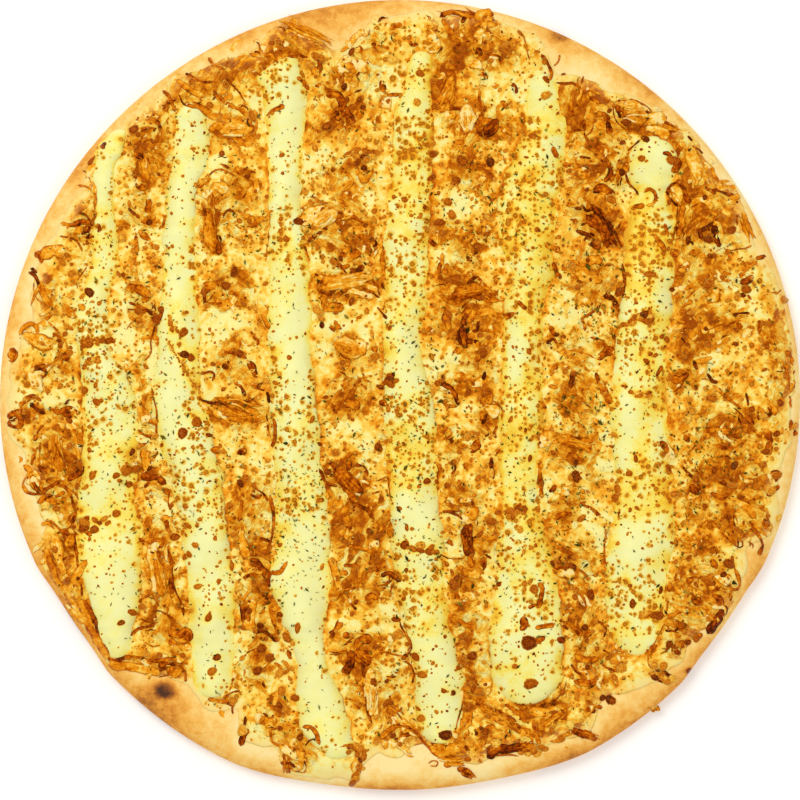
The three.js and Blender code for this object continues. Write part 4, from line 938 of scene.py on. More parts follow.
def make_piece(name, points, faces, uvs, material, attributes, replaced=()):
    """One visible piece. points are in mm from the plan's middle; faces is a list of arrays
    of three or four corners a row, and uvs has a matching array of places on the bake."""
    mesh = bpy.data.meshes.new(name)
    shifted = (points + [0, PLAN_CENTRE_Y, 0]) * MM
    shifted[:, 2] = under_the_top(points[:, 2]) * MM
    corner_counts = np.concatenate([np.full(len(part), part.shape[1]) for part in faces])
    corners = np.concatenate([part.ravel() for part in faces])
    starts = np.concatenate([[0], np.cumsum(corner_counts)[:-1]])
    mesh.vertices.add(len(points))
    mesh.vertices.foreach_set("co", shifted.astype(np.float32).ravel())
    mesh.loops.add(len(corners))
    mesh.loops.foreach_set("vertex_index", corners.astype(np.int32))
    mesh.polygons.add(len(corner_counts))
    mesh.polygons.foreach_set("loop_start", starts.astype(np.int32))
    mesh.polygons.foreach_set("use_smooth", np.ones(len(corner_counts), bool))
    mesh.update(calc_edges=True)
    layer = mesh.uv_layers.new(name="OFBake")
    flat = np.concatenate([part.reshape(-1, 2) for part in uvs])
    layer.data.foreach_set("uv", flat.astype(np.float32).ravel())
    for label, values in attributes.items():
        if values.ndim == 1:
            data = mesh.attributes.new(label, "FLOAT", "POINT").data
            data.foreach_set("value", values.astype(np.float32))
        else:
            data = mesh.attributes.new(label, "FLOAT_VECTOR", "POINT").data
            data.foreach_set("vector", values.astype(np.float32).ravel())
    mesh.materials.append(material)
    piece = bpy.data.objects.new(name, mesh)
    bpy.context.scene.collection.objects.link(piece)
    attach(piece, "root")
    if replaced:
        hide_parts(*replaced)


def body_faces(count, rings, sides):
    """Faces of many closed bodies: each has a point at either end and rings between them.
    Vertices are numbered body by body: first point, rings, last point."""
    size = rings * sides + 2
    first = np.arange(count)[:, None] * size
    side = np.arange(sides)
    after = (side + 1) % sides
    start = np.stack(np.broadcast_arrays(first, first + 1 + after, first + 1 + side), -1)
    tail = 1 + (rings - 1) * sides
    end = np.stack(
        np.broadcast_arrays(first + size - 1, first + tail + side, first + tail + after), -1
    )
    ring = np.arange(rings - 1)[:, None] * sides + 1
    quad = np.stack(
        [ring + side, ring + after, ring + sides + after, ring + sides + side], -1
    ).reshape(-1, 4)
    quads = (first[:, :, None] + quad[None]).reshape(-1, 4)
    triangles = np.concatenate([start.reshape(-1, 3), end.reshape(-1, 3)])
    return [quads, triangles], body_places(count, rings, sides)


TILE_MARGIN = 0.06  # bare border of a body's tile on the bake


def body_places(count, rings, sides):
    """Places of the same faces on the bake: each body has a tile of its own, with its length
    across the tile."""
    tiles = int(np.ceil(np.sqrt(count)))
    corner = np.stack([np.arange(count) % tiles, np.arange(count) // tiles], -1)

    def on_tile(along, around):
        along, around = np.broadcast_arrays(along, around)
        local = TILE_MARGIN + (1 - 2 * TILE_MARGIN) * np.stack([along, around], -1)
        return (corner[:, None, None] + local[None]) / tiles

    side = np.arange(sides)
    low, high = side / sides, (side + 1) / sides
    middle = (side + 0.5) / sides
    step = 1 / (rings + 1)
    begin_uv = on_tile(
        np.stack([0 * low, 0 * low + step, 0 * low + step], -1), np.stack([middle, high, low], -1)
    )
    close_uv = on_tile(
        np.stack([0 * low + 1, 0 * low + 1 - step, 0 * low + 1 - step], -1),
        np.stack([middle, low, high], -1),
    )
    near = (np.arange(rings - 1)[:, None] + 1) * step + 0 * low
    along = np.stack([near, near, near + step, near + step], -1).reshape(-1, 4)
    around = np.stack(np.broadcast_arrays(low + 0 * near, high + 0 * near, high + 0 * near,
                                          low + 0 * near), -1).reshape(-1, 4)
    quad_uv = on_tile(along, around).reshape(-1, 4, 2)
    triangle_uv = np.concatenate([begin_uv.reshape(-1, 3, 2), close_uv.reshape(-1, 3, 2)])
    return [quad_uv, triangle_uv]


def body_points(first, rings, last):
    """first and last are (count, n) arrays, rings is (count, rings, sides, n)."""
    count, width = len(first), rings.shape[-1]
    flat = rings.reshape(count, -1, width)
    return np.concatenate([first[:, None], flat, last[:, None]], 1).reshape(-1, width)


def tubes(centre, side, half_width, half_height, sides):
    """Long bodies round centre lines. centre is (count, stations, 3), side the unit vectors
    across them; the first and last stations are the end points. Returns points and, for each
    point, its share along the body and the cosine and sine of its turn round the section."""
    count, stations, _ = centre.shape
    turn = 2 * np.pi * np.arange(sides) / sides + np.pi / 2
    inner = slice(1, stations - 1)
    cosine = np.broadcast_to(np.cos(turn), (count, stations - 2, sides))
    sine = np.broadcast_to(np.sin(turn), (count, stations - 2, sides))
    sideways = half_width[:, inner, None] * cosine
    rings = np.empty((count, stations - 2, sides, 3))
    rings[..., 0] = centre[:, inner, None, 0] + side[:, inner, None, 0] * sideways
    rings[..., 1] = centre[:, inner, None, 1] + side[:, inner, None, 1] * sideways
    rings[..., 2] = centre[:, inner, None, 2] + half_height[:, inner, None] * sine
    points = body_points(centre[:, 0], rings, centre[:, -1])
    share = np.broadcast_to(np.linspace(0, 1, stations)[None, inner, None], cosine.shape)
    labels = np.stack([share, cosine, sine], -1)
    start = np.tile([0.0, 0.0, 0.0], (count, 1))
    finish = np.tile([1.0, 0.0, 0.0], (count, 1))
    return points, body_points(start, labels, finish)


def disc_grid(cells, radius_at):
    """A square grid of cells bent into a disc. Returns x, y, the faces and its border."""
    line = np.linspace(-1, 1, cells + 1)
    u, v = np.meshgrid(line, line)
    reach = np.maximum(np.abs(u), np.abs(v))
    safe = np.where(reach == 0, 1, reach)
    wide = np.abs(u) >= np.abs(v)
    eighth = np.pi / 4
    angle = np.where(
        wide,
        np.where(u >= 0, 0, np.pi) + eighth * v / np.where(wide & (u != 0), u, safe),
        np.where(v >= 0, np.pi / 2, -np.pi / 2) - eighth * u / np.where(~wide, v, safe),
    )
    radius = reach * radius_at(np.degrees(angle))
    number = np.arange((cells + 1) ** 2).reshape(cells + 1, cells + 1)
    quads = np.stack(
        [number[:-1, :-1], number[:-1, 1:], number[1:, 1:], number[1:, :-1]], -1
    ).reshape(-1, 4)
    border = np.concatenate([
        number[0, :-1], number[:-1, -1], number[-1, :0:-1], number[:0:-1, 0],
    ])
    return (radius * np.cos(angle)).ravel(), (radius * np.sin(angle)).ravel(), quads, border


def from_above(points, faces, scale=1.0, corner=(0.0, 0.0)):
    """Places on the bake as seen from straight above, in a square of the given scale."""
    flat = (points[:, :2] / (2.04 * PIZZA_RADIUS) + 0.5) * scale + corner
    return [flat[part] for part in faces]


# ---------------------------------------------------------------- material helpers

def linear(code):
    """A colour such as "f6f8bc" as linear red, green, blue and alpha."""
    parts = [int(code[index:index + 2], 16) / 255 for index in (0, 2, 4)]
    return [((part + 0.055) / 1.055) ** 2.4 if part > 0.04 else part / 12.92 for part in parts] + [1]


SPOT_WOBBLE = 1.2  # mm by which the outline of a painted spot strays
SPOT_RIPPLES = 450.0  # ripples of that outline in a metre


class Shader:
    """A procedural material whose nodes are added one call at a time."""

    def __init__(self, name, roughness, **sockets):
        self.material = bpy.data.materials.new(name)
        self.material.use_nodes = True
        self.tree = self.material.node_tree
        self.shader = self.tree.nodes["Principled BSDF"]
        self.shader.inputs["Roughness"].default_value = roughness
        for label, value in sockets.items():
            self.shader.inputs[label.replace("_", " ")].default_value = value

    def add(self, kind, settings=None, **inputs):
        added = self.tree.nodes.new(kind)
        for label, value in (settings or {}).items():
            setattr(added, label, value)
        for label, value in inputs.items():
            self.feed(added.inputs[int(label[1:]) if label[0] == "i" else label], value)
        return added

    def feed(self, socket, value):
        if isinstance(value, bpy.types.NodeSocket):
            self.tree.links.new(value, socket)
        else:
            socket.default_value = value

    def attribute(self, name, output="Fac"):
        return self.add("ShaderNodeAttribute", {"attribute_name": name}).outputs[output]

    def math(self, operation, first, second=0.5, third=0.5, clamp=False):
        settings = {"operation": operation, "use_clamp": clamp}
        return self.add("ShaderNodeMath", settings, i0=first, i1=second, i2=third).outputs[0]

    def vector(self, operation, first, second):
        settings = {"operation": operation}
        return self.add("ShaderNodeVectorMath", settings, i0=first, i1=second).outputs[0]

    def blend(self, share, first, second):
        """A number that goes from first to second as share goes from 0 to 1."""
        step = self.math("SUBTRACT", second, first)
        return self.math("MULTIPLY_ADD", share, step, first)

    def position(self):
        """The place in the object, in metres; every piece sits at the origin."""
        return self.add("ShaderNodeTexCoord").outputs["Object"]

    def noise(self, place, size_mm, detail=3.0, roughness=0.5, distortion=0.0):
        added = self.add(
            "ShaderNodeTexNoise", None, Vector=place, Scale=1 / (size_mm * MM),
            Detail=detail, Roughness=roughness, Distortion=distortion,
        )
        return added.outputs["Fac"]

    def range(self, value, low, high, start=0.0, end=1.0):
        added = self.add("ShaderNodeMapRange", {"interpolation_type": "SMOOTHSTEP"})
        for index, part in enumerate([value, low, high, start, end]):
            self.feed(added.inputs[index], part)
        return added.outputs[0]

    def vary(self, value, other, low, high, start, end, clamp=False):
        """value plus start to end, as the other goes from low to high."""
        return self.math("ADD", value, self.range(other, low, high, start, end), clamp=clamp)

    def mix(self, share, first, second, blend="MIX"):
        added = self.add("ShaderNodeMix", {"data_type": "RGBA", "blend_type": blend})
        self.feed(added.inputs[0], share)
        self.feed(added.inputs[6], linear(first) if isinstance(first, str) else first)
        self.feed(added.inputs[7], linear(second) if isinstance(second, str) else second)
        return added.outputs[2]

    def ramp(self, share, stops):
        added = self.add("ShaderNodeValToRGB", None, i0=share)
        elements = added.color_ramp.elements
        while len(elements) < len(stops):
            elements.new(0.5)
        for element, (place, code) in zip(elements, stops):
            element.position = place
            element.color = linear(code)
        return added.outputs[0]

    def spots(self, place, size_mm, density, largest):
        """Round spots, one at most in each cell of about size_mm. Returns a value that is
        1 in a spot's middle, falls to 0 at its edge and is under 0 outside."""
        shaken = self.add("ShaderNodeTexNoise", None, Vector=place, Scale=SPOT_RIPPLES,
                          Detail=2.0)
        centred = self.vector("SUBTRACT", shaken.outputs["Color"], (0.5, 0.5, 0.5))
        moved = self.vector("ADD", place, self.vector("MULTIPLY", centred, [SPOT_WOBBLE * MM] * 3))
        cells = self.add("ShaderNodeTexVoronoi", {"voronoi_dimensions": "2D"}, Vector=moved,
                         Scale=1 / (size_mm * MM))
        chance = self.add("ShaderNodeSeparateColor", None, i0=cells.outputs["Color"])
        kept = self.math("SUBTRACT", density, chance.outputs[0])
        radius = self.math("MULTIPLY", self.range(kept, 0.0, 0.5), largest)
        radius = self.math("MAXIMUM", radius, 0.001)
        return self.math("SUBTRACT", 1.0, self.math("DIVIDE", cells.outputs["Distance"], radius))

    def finish(self, colour, height=None, strength=0.5, distance_mm=0.4, roughness=None):
        self.feed(self.shader.inputs["Base Color"], colour)
        if roughness is not None:
            self.feed(self.shader.inputs["Roughness"], roughness)
        if height is not None:
            bump = self.add("ShaderNodeBump", None, Height=height, Strength=strength)
            bump.inputs["Distance"].default_value = distance_mm * MM
            self.feed(self.shader.inputs["Normal"], bump.outputs[0])
        return self.material


# ---------------------------------------------------------------- materials

SPOT_COLOURS = [(0.0, "b4680a"), (0.25, "a85a06"), (0.6, "bd7410"), (1.0, "c98a1c")]
WARM_GLEAM = (1.0, 0.66, 0.16, 1)  # tint of the highlights on food, which is never white


def spotted(shader, place, colour, height, density, size_mm, largest, seed_shift):
    """Adds browned freckles with a soft yellow halo to a colour and a height."""
    moved = shader.vector("ADD", place, (seed_shift, seed_shift, 0))
    spot = shader.spots(moved, size_mm, density, largest)
    halo = shader.range(spot, -1.6, 0.1, 0.0, 0.95)
    colour = shader.mix(halo, colour, "f6c450", "MULTIPLY")
    inside = shader.range(spot, 0.0, 0.28)
    colour = shader.mix(inside, colour, shader.ramp(spot, SPOT_COLOURS))
    raised = shader.math("MULTIPLY", shader.range(spot, 0.0, 0.4), 0.8)
    return colour, shader.math("ADD", height, raised)


# Shreds drawn in the melted cheese, in mm.
SHRED_CELL = 4.3
SHRED_STRETCH = 2.8  # how much longer than wide they are
SHRED_STRAY = 7  # how far they stray, over about as long a way
SHRED_TWIST = 0.5  # radians by which each turns out of the common heading
FIBRE_RUN, FIBRE_WIDTH = 2.4, 0.55
FIBRES_APART = 30  # so that no two shreds have the same fibres


def shred_pattern(shader, place, heading, shift):
    """Shreds pressed together: each cell is one shred with a shade and a lie of its own.
    Returns its shade and its fibres, both from -1 to 1, and its outline, 1 along its rim."""
    wobble = shader.add("ShaderNodeTexNoise", None, Vector=place, Scale=1 / (SHRED_STRAY * MM),
                        Detail=2.0)
    centred = shader.vector("SUBTRACT", wobble.outputs["Color"], (0.5, 0.5, 0.5))
    strayed = shader.vector("MULTIPLY", centred, (SHRED_STRAY * MM, SHRED_STRAY * MM, 0))
    moved = shader.vector("ADD", place, strayed)
    turned = shader.add(
        "ShaderNodeMapping", {"vector_type": "TEXTURE"}, Vector=moved, Location=(shift, shift, 0),
        Rotation=(0, 0, np.radians(heading)), Scale=(SHRED_STRETCH, 1.0, 1.0),
    ).outputs[0]
    cells = shader.add("ShaderNodeTexVoronoi", {"voronoi_dimensions": "2D"}, Vector=turned,
                       Scale=1 / (SHRED_CELL * MM))
    rims = shader.add(
        "ShaderNodeTexVoronoi", {"voronoi_dimensions": "2D", "feature": "DISTANCE_TO_EDGE"},
        Vector=turned, Scale=1 / (SHRED_CELL * MM),
    )
    tint = shader.add("ShaderNodeSeparateColor", None, i0=cells.outputs["Color"])
    inside = shader.vector("SUBTRACT", turned, cells.outputs["Position"])
    spun = shader.add(
        "ShaderNodeVectorRotate", {"rotation_type": "Z_AXIS"}, Vector=inside,
        Angle=shader.range(tint.outputs[0], 0.0, 1.0, -SHRED_TWIST, SHRED_TWIST),
    ).outputs[0]
    drawn = shader.vector("MULTIPLY", spun, (1 / (FIBRE_RUN * MM), 1 / (FIBRE_WIDTH * MM), 1))
    apart = shader.vector("MULTIPLY", cells.outputs["Color"], [FIBRES_APART] * 3)
    drawn = shader.vector("ADD", drawn, apart)
    streaks = shader.add("ShaderNodeTexNoise", None, Vector=drawn, Scale=1.0, Detail=3.0)
    shade = shader.range(tint.outputs[1], 0.0, 1.0, -1.0, 1.0)
    fibres = shader.range(streaks.outputs["Fac"], 0.3, 0.7, -1.0, 1.0)
    return shade, fibres, shader.range(rims.outputs["Distance"], 0.0, 0.1, 1.0, 0.0)


def cheese_material():
    shader = Shader("melted_cheese_baked", 0.42, Specular_IOR_Level=0.25,
                    Specular_Tint=WARM_GLEAM)
    place = shader.position()
    broad = shader.noise(place, 16, 2.0)
    coarse = shader.range(shader.noise(place, 7.5, 2.0, 0.5, 1.2), 0.32, 0.68, -1.0, 1.0)
    fine = shader.noise(place, 2.6, 3.0, 0.55, 0.5)
    mottle = shader.range(fine, 0.34, 0.66, -1.0, 1.0)
    soak = shader.attribute("soak")
    ragged = shader.range(fine, 0.3, 0.7, -0.3, 0.3)
    fibrous = shader.math("ADD", shader.attribute("chicken"), ragged)
    fibrous = shader.range(fibrous, 0.26, 0.6)
    lie = shader.range(shader.noise(place, 24, 1.0), 0.46, 0.54)
    first = shred_pattern(shader, place, 62, 0.0)
    second = shred_pattern(shader, place, -22, 0.13)
    shade, fibres, rim = [shader.blend(lie, one, other) for one, other in zip(first, second)]
    wandering = shader.math("ADD", shader.math("MULTIPLY", broad, 0.4), soak)
    wandering = shader.math("ADD", wandering, shader.math("MULTIPLY", mottle, 0.13))
    wandering = shader.math("ADD", wandering, shader.math("MULTIPLY", coarse, 0.2))
    meaty = shader.math("MULTIPLY_ADD", shade, 0.26, shader.math("MULTIPLY", fibres, 0.12))
    wandering = shader.math("MULTIPLY_ADD", meaty, fibrous, wandering)
    share = shader.range(wandering, 0.14, 1.4)
    colour = shader.ramp(share, [
        (0.0, "f5ea94"), (0.14, "f8d968"), (0.32, "f4bf42"), (0.5, "eea222"), (0.66, "e0860e"),
        (0.84, "c86802"), (1.0, "a04400"),
    ])
    # Thin dark lines along the strings and the rims of the drawn shreds: painted shade in the creases
    # between shreds, with some browning.
    strings = shader.noise(place, 5.0, 2.0, 0.5, 2.4)
    away = shader.math("ABSOLUTE", shader.math("SUBTRACT", strings, 0.5))
    crease_browning_and_shade = shader.range(away, 0.004, 0.026, 0.8, 0.0)
    crease_browning_and_shade = shader.math("MAXIMUM", crease_browning_and_shade, rim)
    crease_browning_and_shade = shader.math("MULTIPLY", crease_browning_and_shade, fibrous)
    colour = shader.mix(shader.math("MULTIPLY", crease_browning_and_shade, 0.3), colour, "8a3c00")
    edge = shader.attribute("edge")
    colour = shader.mix(edge, colour, "f4c877")
    density = shader.math("MULTIPLY", shader.attribute("freckles"),
                          shader.range(fibrous, 0.2, 0.9, 1.0, 0.25))
    height = shader.math("SUBTRACT", fine, shader.math("MULTIPLY", crease_browning_and_shade, 0.7))
    height = shader.math("MULTIPLY_ADD", fibres, shader.math("MULTIPLY", fibrous, 0.3), height)
    colour, height = spotted(shader, place, colour, height, density, 3.4, 0.46, 0.0)
    colour, height = spotted(shader, place, colour, height, density, 2.1, 0.42, 0.37)
    gloss = shader.range(fine, 0.3, 0.7, 0.34, 0.55)
    return shader.finish(colour, height, 0.55, 0.5, gloss)


def cream_material():
    shader = Shader("cream_cheese_baked", 0.38, Specular_IOR_Level=0.25,
                    Specular_Tint=WARM_GLEAM)
    place = shader.position()
    broad = shader.noise(place, 11, 3.0)
    fine = shader.noise(place, 2.4, 4.0, 0.55)
    soak = shader.attribute("soak")
    wandering = shader.math("ADD", shader.math("MULTIPLY", broad, 0.5), soak)
    grain = shader.noise(place, 0.9, 3.0, 0.6)
    wandering = shader.math("ADD", wandering, shader.math("MULTIPLY", fine, 0.2))
    wandering = shader.vary(wandering, grain, 0.3, 0.7, -0.08, 0.08)
    share = shader.range(wandering, 0.28, 1.3)
    colour = shader.ramp(share, [
        (0.0, "f0efa6"), (0.22, "f2ea8a"), (0.45, "f5e064"), (0.7, "f3cb3e"), (1.0, "e3a020"),
    ])
    # The foot of the line darkened towards brown: painted shade where the raised line meets the cheese.
    foot = shader.attribute("edge")
    colour = shader.mix(foot, colour, "a87838")
    density = shader.attribute("freckles")
    height = shader.math("MULTIPLY", fine, 0.3)
    colour, height = spotted(shader, place, colour, height, density, 3.2, 0.4, 0.11)
    colour, height = spotted(shader, place, colour, height, density, 2.0, 0.36, 0.23)
    gloss = shader.range(fine, 0.3, 0.7, 0.3, 0.48)
    return shader.finish(colour, height, 0.4, 0.4, gloss)


def chicken_material(name, stops):
    """Shredded chicken: tone runs from golden to burnt, darker down the sides of a shred."""
    shader = Shader(name, 0.45, Specular_IOR_Level=0.14, Specular_Tint=WARM_GLEAM)
    grain = shader.attribute("grain", "Vector")
    streaks = shader.add("ShaderNodeTexNoise", None, Vector=grain, Scale=1.0, Detail=4.0,
                         Roughness=0.65).outputs["Fac"]
    place = shader.position()
    blotch = shader.noise(place, 5.5, 3.0)
    tone = shader.attribute("tone")
    side = shader.attribute("side")
    share = shader.vary(tone, streaks, 0.3, 0.75, -0.1, 0.13)
    share = shader.vary(share, blotch, 0.3, 0.7, -0.14, 0.14)
    mottle = shader.noise(place, 1.5, 3.0, 0.6)
    share = shader.vary(share, mottle, 0.3, 0.7, -0.15, 0.15)
    share = shader.vary(share, side, 0.55, 1.0, -0.02, 0.12, clamp=True)
    colour = shader.ramp(share, stops)
    height = shader.math("ADD", streaks, shader.math("MULTIPLY", blotch, 0.2))
    gloss = shader.range(streaks, 0.3, 0.7, 0.36, 0.6)
    return shader.finish(colour, height, 0.5, 0.35, gloss)


def blister_material():
    shader = Shader("browned_blisters", 0.35, Specular_IOR_Level=0.25,
                    Specular_Tint=WARM_GLEAM)
    place = shader.position()
    mottle = shader.noise(place, 0.8, 3.0)
    tone = shader.attribute("tone")
    side = shader.vary(shader.attribute("side"), mottle, 0.3, 0.7, -0.1, 0.1)
    share = shader.vary(tone, mottle, 0.3, 0.7, -0.14, 0.14)
    share = shader.vary(share, side, 0.3, 0.68, -0.02, 0.08)
    share = shader.vary(share, side, 0.7, 0.98, 0.0, -0.7, clamp=True)
    colour = shader.ramp(share, [
        (0.0, "f2cc5c"), (0.12, "ecae34"), (0.3, "d48216"), (0.52, "b85c06"), (0.8, "8c3400"),
        (1.0, "4c1400"),
    ])
    return shader.finish(colour, mottle, 0.35, 0.2)


def dough_material():
    shader = Shader("baked_dough", 0.75, Specular_IOR_Level=0.2, Specular_Tint=WARM_GLEAM)
    place = shader.position()
    broad = shader.noise(place, 26, 4.0)
    fine = shader.noise(place, 3.5, 5.0, 0.62)
    dust = shader.noise(place, 0.9, 3.0)
    bake = shader.attribute("bake")
    share = shader.vary(bake, broad, 0.3, 0.7, -0.12, 0.14)
    share = shader.vary(share, fine, 0.32, 0.68, -0.08, 0.09)
    share = shader.vary(share, dust, 0.3, 0.7, -0.03, 0.03, clamp=True)
    colour = shader.ramp(share, [
        (0.0, "fae09a"), (0.22, "f8d07a"), (0.42, "f1b352"), (0.58, "de9338"), (0.78, "a05c28"),
        (1.0, "4e3024"),
    ])
    freckle = shader.spots(place, 5.0, 0.16, 0.16)
    colour = shader.mix(shader.range(freckle, 0.0, 0.6, 0.0, 0.6), colour, "c98a44")
    height = shader.math("ADD", shader.math("MULTIPLY", fine, 0.8),
                         shader.math("MULTIPLY", dust, 0.25))
    return shader.finish(colour, height, 0.4, 0.5)


def herb_material():
    shader = Shader("dried_oregano", 0.9, Specular_IOR_Level=0.06)
    tone = shader.attribute("tone")
    mottle = shader.noise(shader.position(), 0.5, 2.0)
    share = shader.vary(tone, mottle, 0.3, 0.7, -0.15, 0.15, clamp=True)
    colour = shader.ramp(share, [
        (0.0, "2c2604"), (0.35, "4c450a"), (0.7, "7a701c"), (1.0, "a8a040"),
    ])
    return shader.finish(colour, mottle, 0.3, 0.1)


CHEESE = cheese_material()
CREAM = cream_material()
CHICKEN = chicken_material("shredded_chicken_baked", [
    (0.0, "f8dc8c"), (0.1, "f6c650"), (0.22, "f2a828"), (0.4, "e48a0e"), (0.6, "c46002"),
    (0.78, "983800"), (1.0, "4a1200"),
])
BLISTER = blister_material()
DOUGH = dough_material()
HERB = herb_material()

# ---------------------------------------------------------------- where browned things lie

def scatter(count, seed, chance):
    """Places inside the toppings' edge, kept with the given chance at each."""
    generator = np.random.default_rng(seed)
    kept_x, kept_y = np.empty(0), np.empty(0)
    while len(kept_x) < count:
        turn = generator.uniform(-np.pi, np.pi, 4 * count)
        edge = shown_radius(np.degrees(turn)) - 1.0
        reach = np.sqrt(generator.uniform(0, 1, 4 * count)) * edge
        x, y = reach * np.cos(turn), reach * np.sin(turn)
        keep = generator.uniform(0, 1, 4 * count) < chance(x, y)
        kept_x = np.concatenate([kept_x, x[keep]])
        kept_y = np.concatenate([kept_y, y[keep]])
    return kept_x[:count], kept_y[:count], generator


def bareness(x, y):
    """1 in the smooth pale places of the lines and of the melted cheese, 0 elsewhere."""
    across, down = to_plan(x, y)
    on_lines = strongest(across, down, PALE_ON_LINES) * line_cover(x, y)
    return np.maximum(on_lines, strongest(across, down, PALE_CHEESE))


def dot_chance(x, y):
    """Browned dots: most on the melted cheese, fewer on the lines and in pale places."""
    on_line = line_cover(x, y)
    clumps = smoothstep(0.5 + 0.9 * noise(x, y, 16, 71) + 0.5 * noise(x, y, 7, 72))
    bare_cheese = mix(1, 0.6, clustered(x, y))
    chance = mix(bare_cheese, 0.7, on_line) * (1 - 0.6 * bareness(x, y)) * mix(0.3, 1, clumps)
    return chance * on_toppings(x, y)


def shred_chance(x, y):
    """Scattered shreds: most where the chicken lies thick, hardly any on the lines."""
    thick = np.maximum(clustered(x, y), 0.05)
    return thick * (1 - 0.97 * line_cover(x, y)) * (1 - 0.6 * bareness(x, y))


LARGE_DOTS = 1500
SMALL_DOTS = 3600
BAR_STEP = 0.34  # spacing of the dots that make a browned bar, as a part of its width


def shred_stain(x, y):
    """The shreds lying close to each place, and those round it."""
    return SHRED_STAINS.spread(0.8)(x, y), SHRED_STAINS.spread(4.0)(x, y)


def skin_top(x, y):
    """The melted cheese as it climbs the sides of the shreds."""
    near = SHRED_STAINS.spread(0.8)(x, y)
    return melted_surface(x, y) + 0.4 * np.minimum(near, 1.2) * on_toppings(x, y)


def upper_skin(x, y):
    """What the listed shreds lie on: the melted skin, or a line where one covers it."""
    return np.maximum(skin_top(x, y), top_height(x, y))


def on_shreds(x, y):
    """What the blisters and the oregano lie on: the skin, or shreds where there are some."""
    return upper_skin(x, y) + 0.4 * np.minimum(SHRED_STAINS.spread(0.8)(x, y), 1)


DOT_RINGS = [(0.5, 0.95, 0.4), (0.74, 0.6, 0.7), (1.0, 0.0, 1.0)]  # reach, lift, side
DOT_SKIRT = 1.22  # how much wider a dot is made than its browned middle


def lay_dots(x, y, length, width, turn, rise, sides, seed):
    """Low lens-shaped blisters lying on whatever is uppermost, each of an uneven outline."""
    generator = np.random.default_rng(seed)
    count = len(x)
    length, width = DOT_SKIRT * length, DOT_SKIRT * width
    around = 2 * np.pi * np.arange(sides) / sides
    phase = generator.uniform(0, 2 * np.pi, (count, 2))
    uneven = 1 + 0.13 * np.sin(2 * around + phase[:, :1]) + 0.08 * np.sin(3 * around + phase[:, 1:])
    along, across = np.cos(around) * uneven, np.sin(around) * uneven
    rings = np.empty((count, len(DOT_RINGS), sides, 3))
    for index, (share, lift, _) in enumerate(DOT_RINGS):
        out_x = share * length[:, None] / 2 * along
        out_y = share * width[:, None] / 2 * across
        ring_x = x[:, None] + out_x * np.cos(turn)[:, None] - out_y * np.sin(turn)[:, None]
        ring_y = y[:, None] + out_x * np.sin(turn)[:, None] + out_y * np.cos(turn)[:, None]
        rings[:, index, :, 0] = ring_x
        rings[:, index, :, 1] = ring_y
        rings[:, index, :, 2] = on_shreds(ring_x, ring_y) + lift * rise[:, None] - 0.08
    base = on_shreds(x, y)
    DOT_STAINS.add(x, y, 0.7 * length * width)
    cratered = generator.uniform(0, 1, count) < 0.2
    crown = np.stack([x, y, base + rise * np.where(cratered, 0.5, 1.12)], -1)
    foot = np.stack([x, y, base - 0.35], -1)
    points = body_points(crown, rings, foot)
    tone = generator.normal(0.24, 0.17, count) + 0.04 * length + 0.3 * clustered(x, y)
    tone = tone + 0.14 * line_cover(x, y)
    tone = np.clip(tone, 0.02, 0.95)
    side = np.zeros((count, len(DOT_RINGS), sides, 1))
    for index, (_, _, place) in enumerate(DOT_RINGS):
        side[:, index] = place
    label = np.broadcast_to(tone[:, None, None, None], side.shape)
    labels = body_points(
        np.stack([0 * tone, tone], -1),
        np.concatenate([side, label], -1),
        np.stack([0 * tone + 1, tone], -1),
    )
    return points, labels


def make_dots(name, x, y, length, width, turn, rise, sides, seed):
    points, labels = lay_dots(x, y, length, width, turn, rise, sides, seed)
    faces, uvs = body_faces(len(x), len(DOT_RINGS), sides)
    make_piece(name, points, faces, uvs, BLISTER,
               {"side": labels[:, 0], "tone": labels[:, 1]})


def spaced(x, y, size):
    """Which of the places to keep so that dots of the given sizes hardly overlap."""
    cell = 4.0  # no dot is wider, so only the next cells can hold one that overlaps
    taken = {}
    keep = np.zeros(len(x), bool)
    for index in range(len(x)):
        column, row = int(x[index] // cell), int(y[index] // cell)
        near = [other for across in (-1, 0, 1) for along in (-1, 0, 1)
                for other in taken.get((column + across, row + along), [])]
        keep[index] = all(
            np.hypot(x[index] - x[other], y[index] - y[other]) > 0.56 * (size[index] + size[other])
            for other in near
        )
        if keep[index]:
            taken.setdefault((column, row), []).append(index)
    return keep


def bar_dots(generator):
    """Overlapping dots along each of the browned bars: places, sizes and turns."""
    found = []
    for start, end, width in BROWNED_BARS:
        start_x, start_y = to_mm(*start)
        end_x, end_y = to_mm(*end)
        run_x, run_y = end_x - start_x, end_y - start_y
        length = np.hypot(run_x, run_y)
        turn = np.arctan2(run_y, run_x)
        count = int(length / (BAR_STEP * width * UNIT)) + 2
        share = np.linspace(0, 1, count)
        stray = generator.normal(0, 0.22 * width * UNIT, (2, count))
        found.append(np.stack([
            mix(start_x, end_x, share) + stray[0], mix(start_y, end_y, share) + stray[1],
            width * UNIT * generator.uniform(0.35, 0.85, count),
            turn + generator.normal(0, 0.5, count),
        ]))
    return np.concatenate(found, 1)


